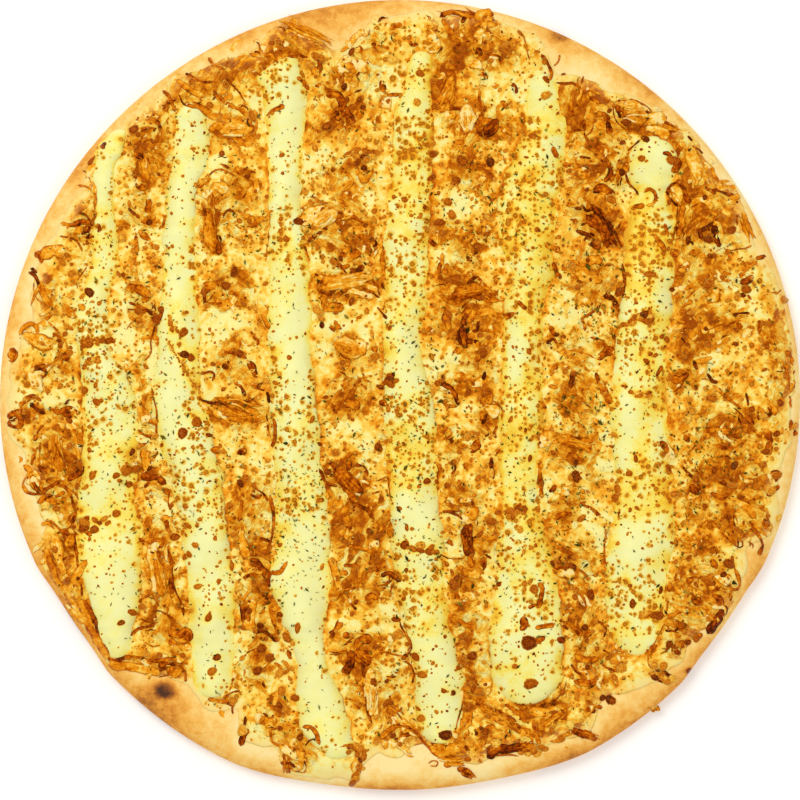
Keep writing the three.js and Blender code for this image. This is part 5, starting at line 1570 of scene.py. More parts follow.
def make_blisters():
    """Browned blisters of the cheese, in two sizes, and the browned bars on the lines."""
    x, y, generator = scatter(LARGE_DOTS, 101, dot_chance)
    size = np.clip(generator.lognormal(np.log(1.6), 0.34, LARGE_DOTS), 1.0, 3.6)
    size = size * (1 - 0.14 * line_cover(x, y))
    kept = spaced(x, y, size)
    x, y, size = x[kept], y[kept], size[kept]
    stretch = np.where(generator.uniform(0, 1, len(x)) < 0.3, 1.6, 1.12)
    named = np.array(NAMED_DOTS, float)
    named_x, named_y = to_mm(named[:, 0], named[:, 1])
    named_size = named[:, 2] * UNIT
    x, y = np.concatenate([x, named_x]), np.concatenate([y, named_y])
    size = np.concatenate([size, named_size])
    stretch = np.concatenate([stretch, np.full(len(named), 1.15)])
    turn = generator.uniform(0, np.pi, len(x))
    bar_x, bar_y, bar_size, bar_turn = bar_dots(generator)
    x, y, size, turn = (
        np.concatenate(pair) for pair in ((x, bar_x), (y, bar_y), (size, bar_size), (turn, bar_turn))
    )
    stretch = np.concatenate([stretch, np.full(len(bar_x), 1.4)])
    rise = 0.2 + 0.1 * size
    make_dots("browned_blisters", x, y, size * stretch, size, turn, rise, 9, 102)

    x, y, generator = scatter(SMALL_DOTS, 103, dot_chance)
    size = generator.uniform(0.6, 1.2, SMALL_DOTS)
    kept = spaced(x, y, size)
    x, y, size = x[kept], y[kept], size[kept]
    turn = generator.uniform(0, np.pi, len(x))
    make_dots("browned_freckles", x, y, size * 1.25, size, turn, 0.15 + 0.1 * size, 6, 104)


# ---------------------------------------------------------------- dough

CRUST_TURNS = 800
CRUST_RINGS = 56
CRUST_INNER = 0.8  # where the finely made part of the crust begins

# Rings of the side and the underside: part of the outline's radius, and height.
CRUST_SIDE = [
    (1.0, 4.4), (0.9985, 3.2), (0.994, 2.0), (0.986, 0.9), (0.975, 0.15),
    (0.962, 0.0), (0.9, 0.0), (0.6, 0.0), (0.3, 0.0),
]

# Places on the crust: [across, down, half across, half down] and, in two lists, how strong.
BROWNED_CRUST = [
    [155, 712, 30, 26], [430, 792, 120, 12], [560, 38, 14, 10], [640, 770, 40, 14],
    [70, 615, 44, 70],
]
PALE_CRUST = [
    [400, 765, 90, 30, 1], [700, 600, 40, 40, 1], [610, 60, 70, 40, 0.2],
    [750, 210, 40, 90, 0.7], [20, 500, 40, 110, 0.5], [250, 740, 60, 30, 0.7],
    [790, 400, 40, 150, 0.5],
]
BURNT_SPOTS = [
    [167, 688, 11, 9, 1], [168, 690, 7, 6, 0.9], [560, 38, 10, 5, 0.25], [688, 670, 4, 4, 0.5],
]
PALE_BESIDE = 9  # mm; the crust is paler this near to the toppings


def bake_at(x, y, share):
    """How browned the dough is: pale inside, golden to brown at the outer edge."""
    across, down = to_plan(x, y)
    outer = smoothstep((share - 0.93) / 0.08)
    band = strongest(across, down, BROWNED_CRUST)
    pale = strongest(across, down, PALE_CRUST, [place[4] for place in PALE_CRUST])
    burn = strongest(across, down, BURNT_SPOTS, [place[4] for place in BURNT_SPOTS])
    off = np.hypot(x, y) - shown_radius(bearing_of(x, y))
    beside = 1 - smoothstep(off / PALE_BESIDE)
    bake = 0.32 + 0.14 * fractal(x, y, 40, 3, 81) + 0.14 * outer + 0.22 * band - 0.3 * pale
    bake = bake - 0.16 * beside
    return np.clip(bake + 0.55 * burn, 0, 1)


def below_the_top(points):
    """Which of the crust's points are those of its side and its underside."""
    return np.arange(len(points)) < 1 + len(CRUST_SIDE) * CRUST_TURNS


def crust_bake(points):
    """How browned the crust is at each of its points."""
    x, y, z = points.T
    bake = bake_at(x, y, np.hypot(x, y) / outline_radius(bearing_of(x, y)))
    low = smoothstep((4 - z) / 4)
    underside = bake + 0.2 * low + 0.16 * fractal(x, y, 22, 3, 99)
    return np.clip(np.where(below_the_top(points), underside, bake), 0, 1)


def crust_places(points, part):
    """Places of faces on the bake: as seen from above, with the underside in a corner."""
    top = from_above(points, [part], 0.72)[0]
    bottom = from_above(points, [part], 0.26, (0.73, 0.0))[0]
    return np.where(below_the_top(points)[part].all(1)[:, None, None], bottom, top)


def make_crust():
    turn = 2 * np.pi * np.arange(CRUST_TURNS) / CRUST_TURNS
    outline = outline_radius(np.degrees(turn))
    shares = np.concatenate([
        [0.3, 0.6], mix(CRUST_INNER, RIM_CREST, np.linspace(0, 1, CRUST_RINGS // 2)),
        RIM_CREST + (1 - RIM_CREST) * np.sin(np.linspace(0, np.pi / 2, CRUST_RINGS // 3)[1:]),
    ])
    rings = []
    for share in shares:
        x, y = share * outline * np.cos(turn), share * outline * np.sin(turn)
        z = dough_top(x, y)
        lively = smoothstep((share - 0.7) / 0.1)
        z = z + lively * (0.45 * fractal(x, y, 16, 3, 91) + 0.1 * noise(x, y, 2.2, 95))
        rings.append(np.stack([x, y, z], -1))
    for share, height in CRUST_SIDE:
        x, y = share * outline * np.cos(turn), share * outline * np.sin(turn)
        lively = 0.35 * fractal(x, y, 14, 2, 97)
        z = np.maximum(height + np.where(height > 0.1, lively, 0), 0)
        rings.append(np.stack([x, y, z], -1))
    stacked = np.stack(rings)[::-1]
    points = body_points(
        np.array([[0.0, 0.0, 0.0]]), stacked[None], np.array([[0.0, 0.0, DOUGH_FLOOR]])
    )
    faces, _ = body_faces(1, len(rings), CRUST_TURNS)
    uvs = [crust_places(points, part) for part in faces]
    make_piece("baked_crust", points, faces, uvs, DOUGH,
               {"bake": crust_bake(points)}, ["dough_base"])


# ---------------------------------------------------------------- melted cheese and the core

CHEESE_CELLS = 268
MOST_SOAKED = 0.74  # even round the darkest shreds the cheese isn't stained more
CORE_CELLS = 60


def soaked(x, y):
    """How far the cheese is stained from pale to orange by what lies round it."""
    across, down = to_plan(x, y)
    _, brown, _ = chicken_at(x, y)
    oily = strongest(across, down, OILY_PLACES)
    pale = bareness(x, y)
    stain = 0.2 + 0.34 * clustered(x, y) * (0.5 + 0.4 * brown) + 0.2 * oily
    stain = stain + 0.26 * fractal(x, y, 15, 2, 111) + 0.06 * noise(x, y, 3.4, 115)
    return stain * (1 - 0.6 * pale)


def line_shadow(x, y):
    """1 along the foot of a line: painted shade, laid on as a darker orange stain of the cheese beside the
    raised line.
    """
    _, down = to_plan(x, y)
    shadow = np.zeros_like(x)
    for line in CREAM_LINES:
        middle, half = line_section(line, down)
        within = half * line_fullness(line, down)
        gap = np.abs(x - middle) - within
        between = (down > line[0][0] - 4) & (down < line[-1][0] + 4)
        shadow = np.maximum(shadow, between * np.exp(-(gap / 1.0) ** 2))
    return shadow * smoothstep(0.4 + 1.3 * noise(x, y, 12, 121))


UNDERSIDE_SHARES = [1.0, 0.88, 0.78, 0.6]


def closed_disc(x, y, top, quads, border, depth):
    """A disc-shaped body: the given top, and an underside that follows the dough."""
    count, around = len(x), len(border)
    rings = []
    for share in UNDERSIDE_SHARES:
        ring_x, ring_y = share * x[border], share * y[border]
        low = top[border] - depth if share == 1 else dough_top(ring_x, ring_y) - depth
        rings.append(np.stack([ring_x, ring_y, low], -1))
    middle = np.array([[0.0, 0.0, DOUGH_FLOOR - depth]])
    points = np.concatenate([np.stack([x, y, top], -1), *rings, middle])
    step = np.arange(around)
    after = (step + 1) % around
    parts = [quads, np.stack([border[step], count + step, count + after, border[after]], -1)]
    for index in range(len(rings) - 1):
        near, far = count + index * around, count + (index + 1) * around
        parts.append(np.stack([near + step, far + step, far + after, near + after], -1))
    last = count + (len(rings) - 1) * around
    tip = np.full(around, len(points) - 1)
    parts.append(np.stack([last + step, tip, last + after], -1))
    return points, parts


def cheese_looks(x, y):
    """How stained and how near its edge the melted cheese is, how many dots it has, and how
    fibrous it is."""
    edge = 1 - smoothstep((shown_radius(bearing_of(x, y)) - np.hypot(x, y)) / 7)
    edge = edge * (1 - 0.8 * strongest(*to_plan(x, y), OILY_PLACES))
    near, wide = shred_stain(x, y)
    stain = 0.2 * np.minimum(near, 1.4) + 0.1 * wide + 0.4 * DOT_STAINS.spread(1.0)(x, y)
    # soak also carries the painted shade along the foot of the lines.
    soak = soaked(x, y) + stain + 0.36 * line_shadow(x, y)
    soak = np.clip(soak, 0, MOST_SOAKED) * (1 - 0.7 * edge)
    density = 0.55 * (1 - 0.7 * bareness(x, y)) * (1 - 0.7 * edge)
    density = density * (0.65 + 0.35 * noise(x, y, 18, 131))
    thick = clustered(x, y) * (1 - 0.6 * bareness(x, y))
    fibrous = np.maximum(smoothstep(1.2 * near), thick) * (1 - edge)
    return {"soak": soak, "edge": 0.6 * edge, "freckles": density, "chicken": fibrous}


def make_cheese():
    x, y, quads, border = disc_grid(CHEESE_CELLS, shown_radius)
    points, faces = closed_disc(x, y, skin_top(x, y), quads, border, 0.9)
    make_piece("melted_cheese_skin", points, faces, from_above(points, faces), CHEESE,
               cheese_looks(points[:, 0], points[:, 1]), ["melted_cheese"])


def make_core():
    """The chicken that fills the heap under its shreds."""
    x, y, quads, border = disc_grid(CORE_CELLS, lambda bearing: 0.93 * shown_radius(bearing))
    top = melted_surface(x, y) - 0.9
    points, faces = closed_disc(x, y, top, quads, border, 0.8)
    px, py = points[:, 0], points[:, 1]
    tone = 0.35 + 0.2 * fractal(px, py, 9, 3, 141)
    grain = np.stack([px / 6, py / 1.5, 0 * px], -1)
    make_piece("chicken_core", points, faces, from_above(points, faces), CHICKEN,
               {"tone": tone, "side": 0 * tone, "grain": grain}, ["shredded_chicken"])


# ---------------------------------------------------------------- cream cheese lines

LINE_STATIONS = 230  # rings along a line
LINE_UPPER = 26  # points of a ring over the top, and under it
LINE_LOWER = 4


def line_looks(line, x, y):
    """How stained a line is at each point, how dark its foot is and how many dots it has."""
    across, down = to_plan(x, y)
    middle, half = line_section(line, down)
    out = np.abs(x - middle) / half
    oily = strongest(across, down, OILY_PLACES)
    pale = bareness(x, y)
    sunk = sunk_share(x, y)
    ragged = out + 0.16 * fractal(x, y, 7, 2, 167)
    soak = 0.12 + mix(0.14, 0.36, sunk) * smoothstep((ragged - 0.62) / 0.36) + 0.18 * oily
    soak = soak + 0.1 * sunk + 0.34 * fractal(x, y, 7, 3, 161) + 0.1 * noise(x, y, 3, 165)
    soak = soak * (1 - 0.6 * pale) + 0.45 * DOT_STAINS.spread(1.0)(x, y)
    # foot: painted shade along the edge where the raised line meets the cheese, mixed towards brown in its
    # material.
    foot = 0.55 * smoothstep((out - 0.93) / 0.07) * smoothstep(0.3 + 1.4 * noise(x, y, 11, 121))
    density = (0.34 + 0.26 * noise(x, y, 15, 171) + 0.2 * oily) * (1 - 0.8 * pale)
    return {
        "soak": np.clip(soak, 0, 1), "edge": foot * (1 - 0.7 * sunk),
        "freckles": np.clip(density, 0, 1),
    }


def make_line(number):
    line = CREAM_LINES[number]
    first, last = line[0][0], line[-1][0]
    even = np.linspace(0, 1, LINE_STATIONS + 2)
    share = mix(even, 0.5 - 0.5 * np.cos(np.pi * even), 0.4)
    down = mix(first, last, share)[1:-1, None]
    turn = np.concatenate([
        np.pi * np.arange(LINE_UPPER) / LINE_UPPER,
        np.pi + np.pi * np.arange(LINE_LOWER) / LINE_LOWER,
    ])[None]
    middle, half = line_section(line, down)
    within = half * line_fullness(line, down)
    x = middle + within * np.cos(turn)
    _, y = to_mm(0, down + 0 * turn)
    upper = turn <= np.pi
    base = line_base(x, y)
    top = base + line_rise(line, x, y) + 0.12 * noise(x, y, 3.0, 151)
    bottom = base - 0.3 + 1.8 * np.sin(turn) * line_fullness(line, down)
    z = np.where(upper & (np.sin(turn) > 0.01), top, np.where(upper, base - 0.3, bottom))
    rings = np.stack([x, y, z], -1)[None]
    ends = []
    for place in (first, last):
        end_middle, _ = line_section(line, np.array([float(place)]))
        _, end_y = to_mm(0, np.array([float(place)]))
        ends.append(np.stack([end_middle, end_y, line_base(end_middle, end_y) - 0.3], -1))
    points = body_points(ends[0], rings, ends[1])
    faces, uvs = body_faces(1, LINE_STATIONS, LINE_UPPER + LINE_LOWER)
    name = f"cream_line_{number + 1}"
    make_piece(f"piped_{name}", points, faces, uvs, CREAM,
               line_looks(line, points[:, 0], points[:, 1]), [name])


# ---------------------------------------------------------------- shreds

def side_vectors(line_x, line_y):
    """Unit vectors across the centre lines of shreds."""
    step_x, step_y = np.gradient(line_x, axis=1), np.gradient(line_y, axis=1)
    size = np.hypot(step_x, step_y) + 1e-9
    return np.stack([step_y / size, -step_x / size], -1)


def drawn_in(x, y, most):
    """The same places, none further out than the given part of the outline's radius."""
    shrink = np.minimum(1, outline_radius(bearing_of(x, y)) * most / np.hypot(x, y))
    return x * shrink, y * shrink


def shred_centres(x, y, turn, length, bow, wiggle, stations, generator):
    """Centre lines of shreds that lie along turn and bend sideways, and their side vectors."""
    share = np.linspace(0, 1, stations)[None]
    arc = bow[:, None] * (4 * share * (1 - share) - 0.66)
    phase = generator.uniform(0, 2 * np.pi, (len(x), 1))
    arc = arc + wiggle[:, None] * np.sin(2 * np.pi * 1.3 * share + phase)
    reach = (share - 0.5) * length[:, None]
    cosine, sine = np.cos(turn)[:, None], np.sin(turn)[:, None]
    line_x = x[:, None] + reach * cosine - arc * sine
    line_y = y[:, None] + reach * sine + arc * cosine
    return line_x, line_y, side_vectors(line_x, line_y), share


FIBRE_LENGTH = 5  # mm of a shred to one repeat of its streaks
FIBRES_AROUND = 1.3
FIBRE_SHIFT = 1.7  # so that no two shreds have the same streaks


def make_fibrous(name, points, labels, tone, length, stations, sides):
    """Many shreds as one piece, with fibres that run along each of them."""
    count = len(length)
    repeat = len(points) // count
    grain = np.stack([
        labels[:, 0] * np.repeat(length, repeat) / FIBRE_LENGTH,
        np.arctan2(labels[:, 2], labels[:, 1]) * FIBRES_AROUND,
        np.repeat(np.arange(count) * FIBRE_SHIFT, repeat),
    ], -1)
    faces, uvs = body_faces(count, stations - 2, sides)
    make_piece(name, points, faces, uvs, CHICKEN,
               {"tone": np.clip(tone, 0, 1), "side": np.abs(labels[:, 1]), "grain": grain})


def make_shreds(name, kind):
    """Many shreds of one kind, lying half sunk in the melted surface."""
    bundle = kind["bundle"]
    bundles = kind["count"] // bundle
    count = bundles * bundle
    x, y, generator = scatter(bundles, kind["seed"], shred_chance)
    amount, brown, fibre = chicken_at(x, y)
    turn = fibre + generator.normal(0, 1, bundles) * mix(1.1, 0.45, amount)
    length = generator.lognormal(np.log(kind["length"]), 0.35, bundles)
    bend = length * generator.normal(0, 0.2, bundles)
    shade = generator.normal(0, 0.1, bundles)
    x, y, amount, brown, turn, length, bend, shade = (
        np.repeat(part, bundle) for part in (x, y, amount, brown, turn, length, bend, shade)
    )
    width = kind["width"] * np.minimum(generator.lognormal(0, 0.32, count), LONGEST)
    beside = generator.normal(0, 0.75 * bundle * kind["width"] / 2, count)
    ahead = generator.normal(0, 0.16, count) * length
    x = x + ahead * np.cos(turn) - beside * np.sin(turn)
    y = y + ahead * np.sin(turn) + beside * np.cos(turn)
    turn = turn + generator.normal(0, 0.2, count)
    length = np.minimum(length * generator.lognormal(0, 0.25, count), LONGEST * kind["length"])
    bow = bend * generator.normal(1, 0.35, count)
    wiggle = length * generator.uniform(0, 0.09, count)
    stations = kind["stations"]
    line_x, line_y, side, share = shred_centres(x, y, turn, length, bow, wiggle, stations,
                                                generator)
    line_x, line_y = drawn_in(line_x, line_y, 0.99)
    taper = np.sin(np.pi * share) ** 0.55
    swell = 1 + 0.25 * np.sin(2 * np.pi * share * 1.7 + generator.uniform(0, 6.28, (count, 1)))
    half_width = width[:, None] / 2 * taper * swell
    half_height = half_width * kind["flatness"]
    lift = kind["lift"] + generator.normal(0, kind["lift_spread"], count)
    arch = generator.uniform(0, kind["arch"], count)[:, None] * np.sin(np.pi * share) - 0.25
    height = melted_surface(line_x, line_y) + lift[:, None] + arch
    centre = np.stack([line_x, line_y, height], -1)
    SHRED_STAINS.add(line_x, line_y, 2 * half_width * length[:, None] / stations)
    points, labels = tubes(centre, side, half_width, half_height, kind["sides"])
    repeat = len(points) // count
    tone = kind["tone"] + 0.6 * (brown - 0.65) + shade + 0.3 * fractal(x, y, 9, 2, 321)
    tone = tone + generator.normal(0, 0.05, count)
    tone = np.repeat(tone, repeat) + 0.3 * fractal(points[:, 0], points[:, 1], 3.4, 3, 715)
    ends = np.abs(2 * labels[:, 0] - 1) ** 3
    make_fibrous(name, points, labels, tone + 0.22 * ends, length, stations, kind["sides"])


# Kinds of scattered shreds. Lengths, widths, lifts and arches are in mm, flatness is the
# height over the width, and a bundle is a number of shreds that lie side by side.
SHRED_KINDS = {
    "golden_sheets": {
        "count": 460, "seed": 304, "bundle": 2, "length": 8.0, "width": 3.6, "flatness": 0.18,
        "lift": -0.1, "lift_spread": 0.25, "arch": 0.7, "sides": 8, "stations": 9, "tone": 0.24,
    },
    "golden_shreds": {
        "count": 1100, "seed": 301, "bundle": 4, "length": 6.5, "width": 1.9, "flatness": 0.38,
        "lift": -0.3, "lift_spread": 0.3, "arch": 0.7, "sides": 6, "stations": 8, "tone": 0.3,
    },
    "browned_shreds": {
        "count": 900, "seed": 302, "bundle": 3, "length": 4.2, "width": 1.5, "flatness": 0.42,
        "lift": -0.05, "lift_spread": 0.3, "arch": 0.6, "sides": 6, "stations": 6, "tone": 0.54,
    },
    "dark_fibres": {
        "count": 480, "seed": 303, "bundle": 2, "length": 5.0, "width": 0.65, "flatness": 0.7,
        "lift": 0.15, "lift_spread": 0.25, "arch": 0.6, "sides": 4, "stations": 7, "tone": 0.74,
    },
}
LONGEST = 1.7  # the most that a shred's length or width exceeds its kind's usual one by

# ---------------------------------------------------------------- larger pieces of chicken

PIECE_TONES = {
    "chicken_meaty_chunk": 0.0, "chicken_smooth_piece": 0.12, "chicken_tan_shred": 0.1,
    "chicken_right_golden": 0.26, "chicken_orange_patch": 0.32, "chicken_rim_oval": 0.26,
    "chicken_upper_left_patch": 0.3, "chicken_streaked_shred": 0.24, "chicken_top_strip": 0.3,
    "chicken_burnt_knot": 0.86, "chicken_burnt_finger": 0.84, "chicken_upper_dark": 0.9,
    "chicken_right_dark_shred": 0.85, "chicken_left_lobed": 0.72, "chicken_left_blister": 0.7,
    "chicken_middle_knot": 0.66, "chicken_hooked_shred": 0.8, "chicken_dark_upright": 0.86,
    "chicken_star_piece": 0.72, "chicken_reddish_piece": 0.68, "chicken_low_bar": 0.76,
    "chicken_small_finger": 0.66, "chicken_near_oval": 0.6, "chicken_right_bar": 0.64,
    "chicken_arm_near": 0.45, "chicken_arm_far": 0.42, "chicken_right_thin_strand": 0.7,
}
USUAL_TONE = 0.48
PIECE_SUNK = 0.8  # depth in mm by which the pieces lie in the cheese
PIECE_FLATTENED = 0.75
PIECE_SUBDIVISIONS = 2
PIECE_SHAPES = []  # middle, axes, half length, half width, top and tone of each piece made
STRANDS_PER_PIECE = 8
STRAND_STATIONS = 9
STRAND_SIDES = 5


def smooth_copy(node):
    """The node's own shape, rounded by a subdivision surface, as points and quads in mm."""
    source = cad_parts[node]
    draft = bpy.data.objects.new("draft", source.data.copy())
    bpy.context.scene.collection.objects.link(draft)
    weld = draft.modifiers.new("weld", "WELD")
    weld.merge_threshold = 0.02 * MM
    rounded = draft.modifiers.new("round", "SUBSURF")
    rounded.levels = PIECE_SUBDIVISIONS
    graph = bpy.context.evaluated_depsgraph_get()
    mesh = bpy.data.meshes.new_from_object(draft.evaluated_get(graph))
    points = np.empty(len(mesh.vertices) * 3)
    mesh.vertices.foreach_get("co", points)
    normals = np.empty(len(mesh.vertices) * 3)
    mesh.vertices.foreach_get("normal", normals)
    quads = np.empty(len(mesh.polygons) * 4, int)
    mesh.polygons.foreach_get("vertices", quads)
    bpy.data.objects.remove(draft)
    points = points.reshape(-1, 3) / MM - [0, PLAN_CENTRE_Y, 0]
    return points, normals.reshape(-1, 3), quads.reshape(-1, 4)


def make_chicken_piece(node, seed):
    """A larger piece: the node's shape with long fibres raised along it."""
    points, normals, quads = smooth_copy(node)
    middle = points.mean(0)
    flat = (points - middle)[:, :2]
    _, _, axes = np.linalg.svd(flat, full_matrices=False)
    along, across = flat @ axes[0], flat @ axes[1]
    half = np.abs(across).max() + 1e-6
    fibres = ridges(across, along * 0.14, 0.8, seed) - 0.5
    lumps = fractal(along, across, 4, 2, seed + 3)
    rim = np.clip(np.abs(across) / half, 0, 1)
    shift = 0.1 + 0.5 * fibres + (0.4 + 0.9 * rim) * lumps
    points = points + normals * shift[:, None]
    points[:, 2] = middle[2] - PIECE_SUNK + (points[:, 2] - middle[2]) * PIECE_FLATTENED
    SHRED_STAINS.add(points[:, 0], points[:, 1], np.full(len(points), 0.3))
    tone = PIECE_TONES.get(node, USUAL_TONE)
    longest = np.abs(along).max()
    PIECE_SHAPES.append([middle, axes, longest, half, points[:, 2].max(), tone])
    reach = np.abs(along) / longest
    tone = np.clip(tone - 0.1 * fibres + 0.14 * reach ** 3, 0, 1)
    grain = np.stack([along / 5, across * 1.2, points[:, 2] * 0.6 + seed], -1)
    low, high = points[:, :2].min(0), points[:, :2].max(0)
    spot = 0.05 + 0.9 * (points[:, :2] - low) / (high - low)
    make_piece(node.replace("chicken_", "roast_"), points, [quads], [spot[quads]], CHICKEN,
               {"tone": tone, "side": rim ** 1.5, "grain": grain}, [node])


def make_strands():
    """Loose fibres that run along the larger pieces and past their ends."""
    generator = np.random.default_rng(601)
    count = STRANDS_PER_PIECE * len(PIECE_SHAPES)
    pick = [np.repeat([shape[index] for shape in PIECE_SHAPES], STRANDS_PER_PIECE, 0)
            for index in range(6)]
    middle, axes, half_length, half_width, top, tone = pick
    length = 2 * half_length * generator.uniform(0.45, 1.0, count)
    ahead = half_length * generator.uniform(-0.5, 0.5, count)
    beside = half_width * generator.uniform(-0.95, 0.95, count)
    turn = np.arctan2(axes[:, 0, 1], axes[:, 0, 0])
    across = np.arctan2(axes[:, 1, 1], axes[:, 1, 0])
    x = middle[:, 0] + ahead * np.cos(turn) + beside * np.cos(across)
    y = middle[:, 1] + ahead * np.sin(turn) + beside * np.sin(across)
    heading = turn + generator.normal(0, 0.13, count)
    bow = length * generator.normal(0, 0.06, count)
    wiggle = length * generator.uniform(0, 0.03, count)
    line_x, line_y, side, share = shred_centres(x, y, heading, length, bow, wiggle,
                                                STRAND_STATIONS, generator)
    step_x, step_y = line_x - middle[:, :1], line_y - middle[:, 1:2]
    forward = step_x * np.cos(turn)[:, None] + step_y * np.sin(turn)[:, None]
    sideways = step_x * np.cos(across)[:, None] + step_y * np.sin(across)[:, None]
    reach = (forward / half_length[:, None]) ** 2 + (sideways / half_width[:, None]) ** 2
    ground = melted_surface(line_x, line_y)
    mound = np.maximum(top[:, None] - ground, 0) * np.sqrt(np.clip(1 - reach, 0, 1))
    height = ground + mound + generator.uniform(-0.25, 0.15, (count, 1))
    centre = np.stack([line_x, line_y, height], -1)
    width = generator.uniform(0.7, 1.6, (count, 1)) / 2 * np.sin(np.pi * share) ** 0.5
    points, labels = tubes(centre, side, width, 0.6 * width, STRAND_SIDES)
    SHRED_STAINS.add(line_x, line_y, 2 * width * length[:, None] / STRAND_STATIONS)
    repeat = len(points) // count
    shade = np.repeat(tone + generator.normal(0, 0.12, count), repeat)
    make_fibrous("roast_strands", points, labels, shade, length, STRAND_STATIONS, STRAND_SIDES)


STROKE_STATIONS = 14
STROKE_SIDES = 9
STROKE_LIFT = 0.1  # height over what a stroke lies on


def stroke_line(stroke):
    """Even stations along a stroke in mm, with its corners rounded, its width and length."""
    width = stroke[1] * UNIT
    corners = np.array(stroke[2:], float).reshape(-1, 2)
    x, y = to_mm(corners[:, 0], corners[:, 1])
    for end, inner in ((0, 1), (-1, -2)):
        out_x, out_y = x[end] - x[inner], y[end] - y[inner]
        stretch = 0.3 * width / np.hypot(out_x, out_y)
        x[end], y[end] = x[end] + stretch * out_x, y[end] + stretch * out_y
    run = np.concatenate([[0], np.cumsum(np.hypot(np.diff(x), np.diff(y)))])
    even = np.linspace(0, run[-1], STROKE_STATIONS)
    line = np.stack([np.interp(even, run, x), np.interp(even, run, y)])
    for _ in range(2):
        line[:, 1:-1] = (line[:, :-2] + 2 * line[:, 1:-1] + line[:, 2:]) / 4
    return line[0], line[1], width, run[-1]


def make_strokes():
    """The shreds and sheets of chicken listed one by one, draped over what lies under them."""
    count = len(STROKES)
    lines = [stroke_line(stroke) for stroke in STROKES]
    line_x, line_y = np.stack([line[0] for line in lines]), np.stack([line[1] for line in lines])
    width = np.array([line[2] for line in lines])[:, None]
    length = np.array([line[3] for line in lines])[:, None]
    line_x = line_x + 0.4 * noise(line_x, line_y, 3.5, 711)
    line_y = line_y + 0.4 * noise(line_x, line_y, 3.5, 712)
    line_x, line_y = drawn_in(line_x, line_y, 0.975)
    side = side_vectors(line_x, line_y)
    share = np.linspace(0, 1, STROKE_STATIONS)[None]
    near = np.clip(np.minimum(share, 1 - share) * length / (0.9 * width), 0, 1)
    uneven = 1 + 0.4 * noise(line_x, line_y, 4, 713) + 0.25 * noise(line_x, line_y, 1.8, 714)
    half_width = width / 2 * np.sqrt(1 - (1 - near) ** 2) * uneven
    half_height = np.minimum(0.8 * half_width, (0.22 + 0.12 * half_width) * np.sqrt(near))
    centre = np.stack([line_x, line_y, 0 * line_x], -1)
    points, labels = tubes(centre, side, half_width, half_height, STROKE_SIDES)
    points[:, 2] += upper_skin(points[:, 0], points[:, 1]) + STROKE_LIFT
    points[:, 2] += 0.16 * noise(points[:, 0], points[:, 1], 1.6, 716)
    SHRED_STAINS.add(line_x, line_y, 2 * half_width * length / STROKE_STATIONS)
    repeat = len(points) // count
    tone = np.repeat([stroke[0] for stroke in STROKES], repeat)
    rim = smoothstep((np.abs(labels[:, 1]) - 0.6) / 0.35) * smoothstep((0.5 - tone) / 0.3)
    tone = tone - 0.06 + 0.26 * fractal(points[:, 0], points[:, 1], 3.4, 3, 715) + 0.2 * rim
    make_fibrous("listed_shreds", points, labels, tone, length, STROKE_STATIONS, STROKE_SIDES)


# ---------------------------------------------------------------- oregano

HERB_COUNT = 4200


def herb_chance(x, y):
    """Oregano: thick in the listed places, thin elsewhere, and thinner low on the lines."""
    across, down = to_plan(x, y)
    amounts = [place[4] for place in HERB_PLACES]
    thick = strongest(across, down, HERB_PLACES, amounts)
    on_line = line_cover(x, y) * smoothstep((across - 560) / 60)
    return np.maximum(HERB_BASE, thick) * (1 - 0.55 * on_line) * on_toppings(x, y)


def make_oregano():
    x, y, generator = scatter(HERB_COUNT, 201, herb_chance)
    length = generator.lognormal(np.log(1.25), 0.36, HERB_COUNT)
    thin = generator.uniform(0, 1, HERB_COUNT) < 0.6
    width = length * np.where(thin, 0.26, generator.uniform(0.3, 0.5, HERB_COUNT))
    turn = generator.uniform(0, np.pi, HERB_COUNT)
    tilt = generator.normal(0, 0.25, HERB_COUNT)
    height = on_shreds(x, y) + 0.22 + generator.uniform(0, 0.45, HERB_COUNT)
    cosine, sine = np.cos(turn), np.sin(turn)
    rise = 0.5 * length * tilt
    start = np.stack([x - 0.5 * length * cosine, y - 0.5 * length * sine, height - rise], -1)
    end = np.stack([x + 0.5 * length * cosine, y + 0.5 * length * sine, height + rise], -1)
    ring = np.empty((HERB_COUNT, 1, 4, 3))
    for index in range(4):
        around = np.pi / 2 * index
        out = 0.5 * width * np.cos(around)
        ring[:, 0, index, 0] = x - out * sine
        ring[:, 0, index, 1] = y + out * cosine
        ring[:, 0, index, 2] = height + 0.14 * np.sin(around)
    points = body_points(start, ring, end)
    tone = np.repeat(np.clip(generator.normal(0.38, 0.24, HERB_COUNT), 0, 1), 6)
    faces, uvs = body_faces(HERB_COUNT, 1, 4)
    make_piece("oregano_flakes", points, faces, uvs, HERB, {"tone": tone})


# ---------------------------------------------------------------- stage

CAMERA_DISTANCE = 1.4
SENSOR_WIDTH = 36
FLOOR_SIZE = 6
FLOOR_COLOUR = "fbfaf7"
FLOOR_CLOUDS = "f8f7f3"
FLOOR_GLOW = 0.12
WORLD_COLOUR = (1.0, 0.99, 0.97, 1)
WORLD_STRENGTH = 0.64
LIGHTS = {  # place and size in metres, power in watts
    "key_light": ((-0.55, 0.65, 1.4), 0.9, 11),
    "fill_light": ((0.8, -0.5, 1.3), 1.4, 4),
}


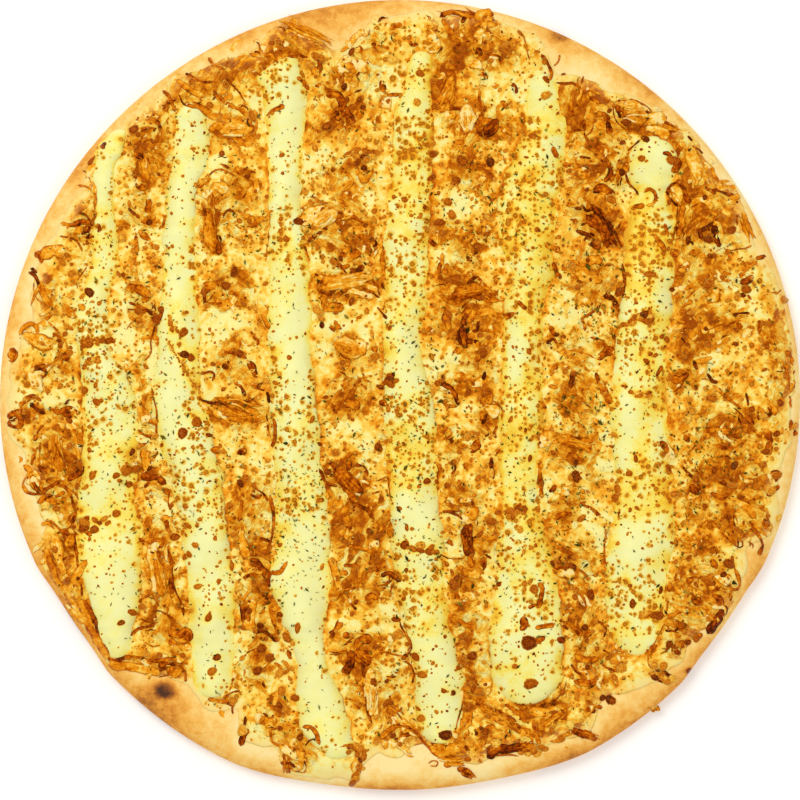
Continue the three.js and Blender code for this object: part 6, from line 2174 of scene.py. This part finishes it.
def make_floor():
    mesh = bpy.data.meshes.new("floor")
    half = FLOOR_SIZE / 2
    corners = [(-half, -half, 0), (half, -half, 0), (half, half, 0), (-half, half, 0)]
    mesh.from_pydata(corners, [], [(0, 1, 2, 3)])
    shader = Shader("pale_floor", 0.9, Emission_Color=(1, 1, 1, 1), Emission_Strength=FLOOR_GLOW)
    cloudy = shader.noise(shader.position(), 300)
    colour = shader.mix(cloudy, FLOOR_COLOUR, FLOOR_CLOUDS)
    mesh.materials.append(shader.finish(colour))
    floor = bpy.data.objects.new("floor", mesh)
    bpy.context.scene.collection.objects.link(floor)


def make_area_light(name, place, size, power):
    light = bpy.data.lights.new(name, "AREA")
    light.shape = "DISK"
    light.size = size
    light.energy = power
    lamp = bpy.data.objects.new(name, light)
    lamp.location = place
    bpy.context.scene.collection.objects.link(lamp)
    lamp.rotation_euler = lamp.location.to_track_quat("Z", "Y").to_euler()


def make_lights():
    world = bpy.data.worlds.new("studio")
    bpy.context.scene.world = world
    world.use_nodes = True
    backdrop = world.node_tree.nodes["Background"]
    backdrop.inputs["Color"].default_value = WORLD_COLOUR
    backdrop.inputs["Strength"].default_value = WORLD_STRENGTH
    for name, (place, size, power) in LIGHTS.items():
        make_area_light(name, place, size, power)
    bpy.context.scene.view_settings.view_transform = "Standard"


def make_camera():
    """Looks straight down, with the pizza's outline on the edges of the picture."""
    camera = bpy.data.cameras.new("camera")
    camera.sensor_width = SENSOR_WIDTH
    distance = CAMERA_DISTANCE - RIM_BELLY_HEIGHT * MM
    camera.lens = SENSOR_WIDTH * distance / (2 * PIZZA_RADIUS * MM)
    eye = bpy.data.objects.new("camera", camera)
    eye.location = (0, PLAN_CENTRE_Y * MM, CAMERA_DISTANCE)
    bpy.context.scene.collection.objects.link(eye)
    bpy.context.scene.camera = eye


# ---------------------------------------------------------------- the pizza

make_camera()
make_lights()
make_floor()
make_crust()
make_core()
for name, kind in SHRED_KINDS.items():
    make_shreds(name, kind)
chicken_nodes = sorted(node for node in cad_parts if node.startswith("chicken_"))
for order, node in enumerate(chicken_nodes):
    make_chicken_piece(node, 401 + 7 * order)
make_strands()
make_strokes()
make_blisters()
make_oregano()
make_cheese()
for number in range(len(CREAM_LINES)):
    make_line(number)
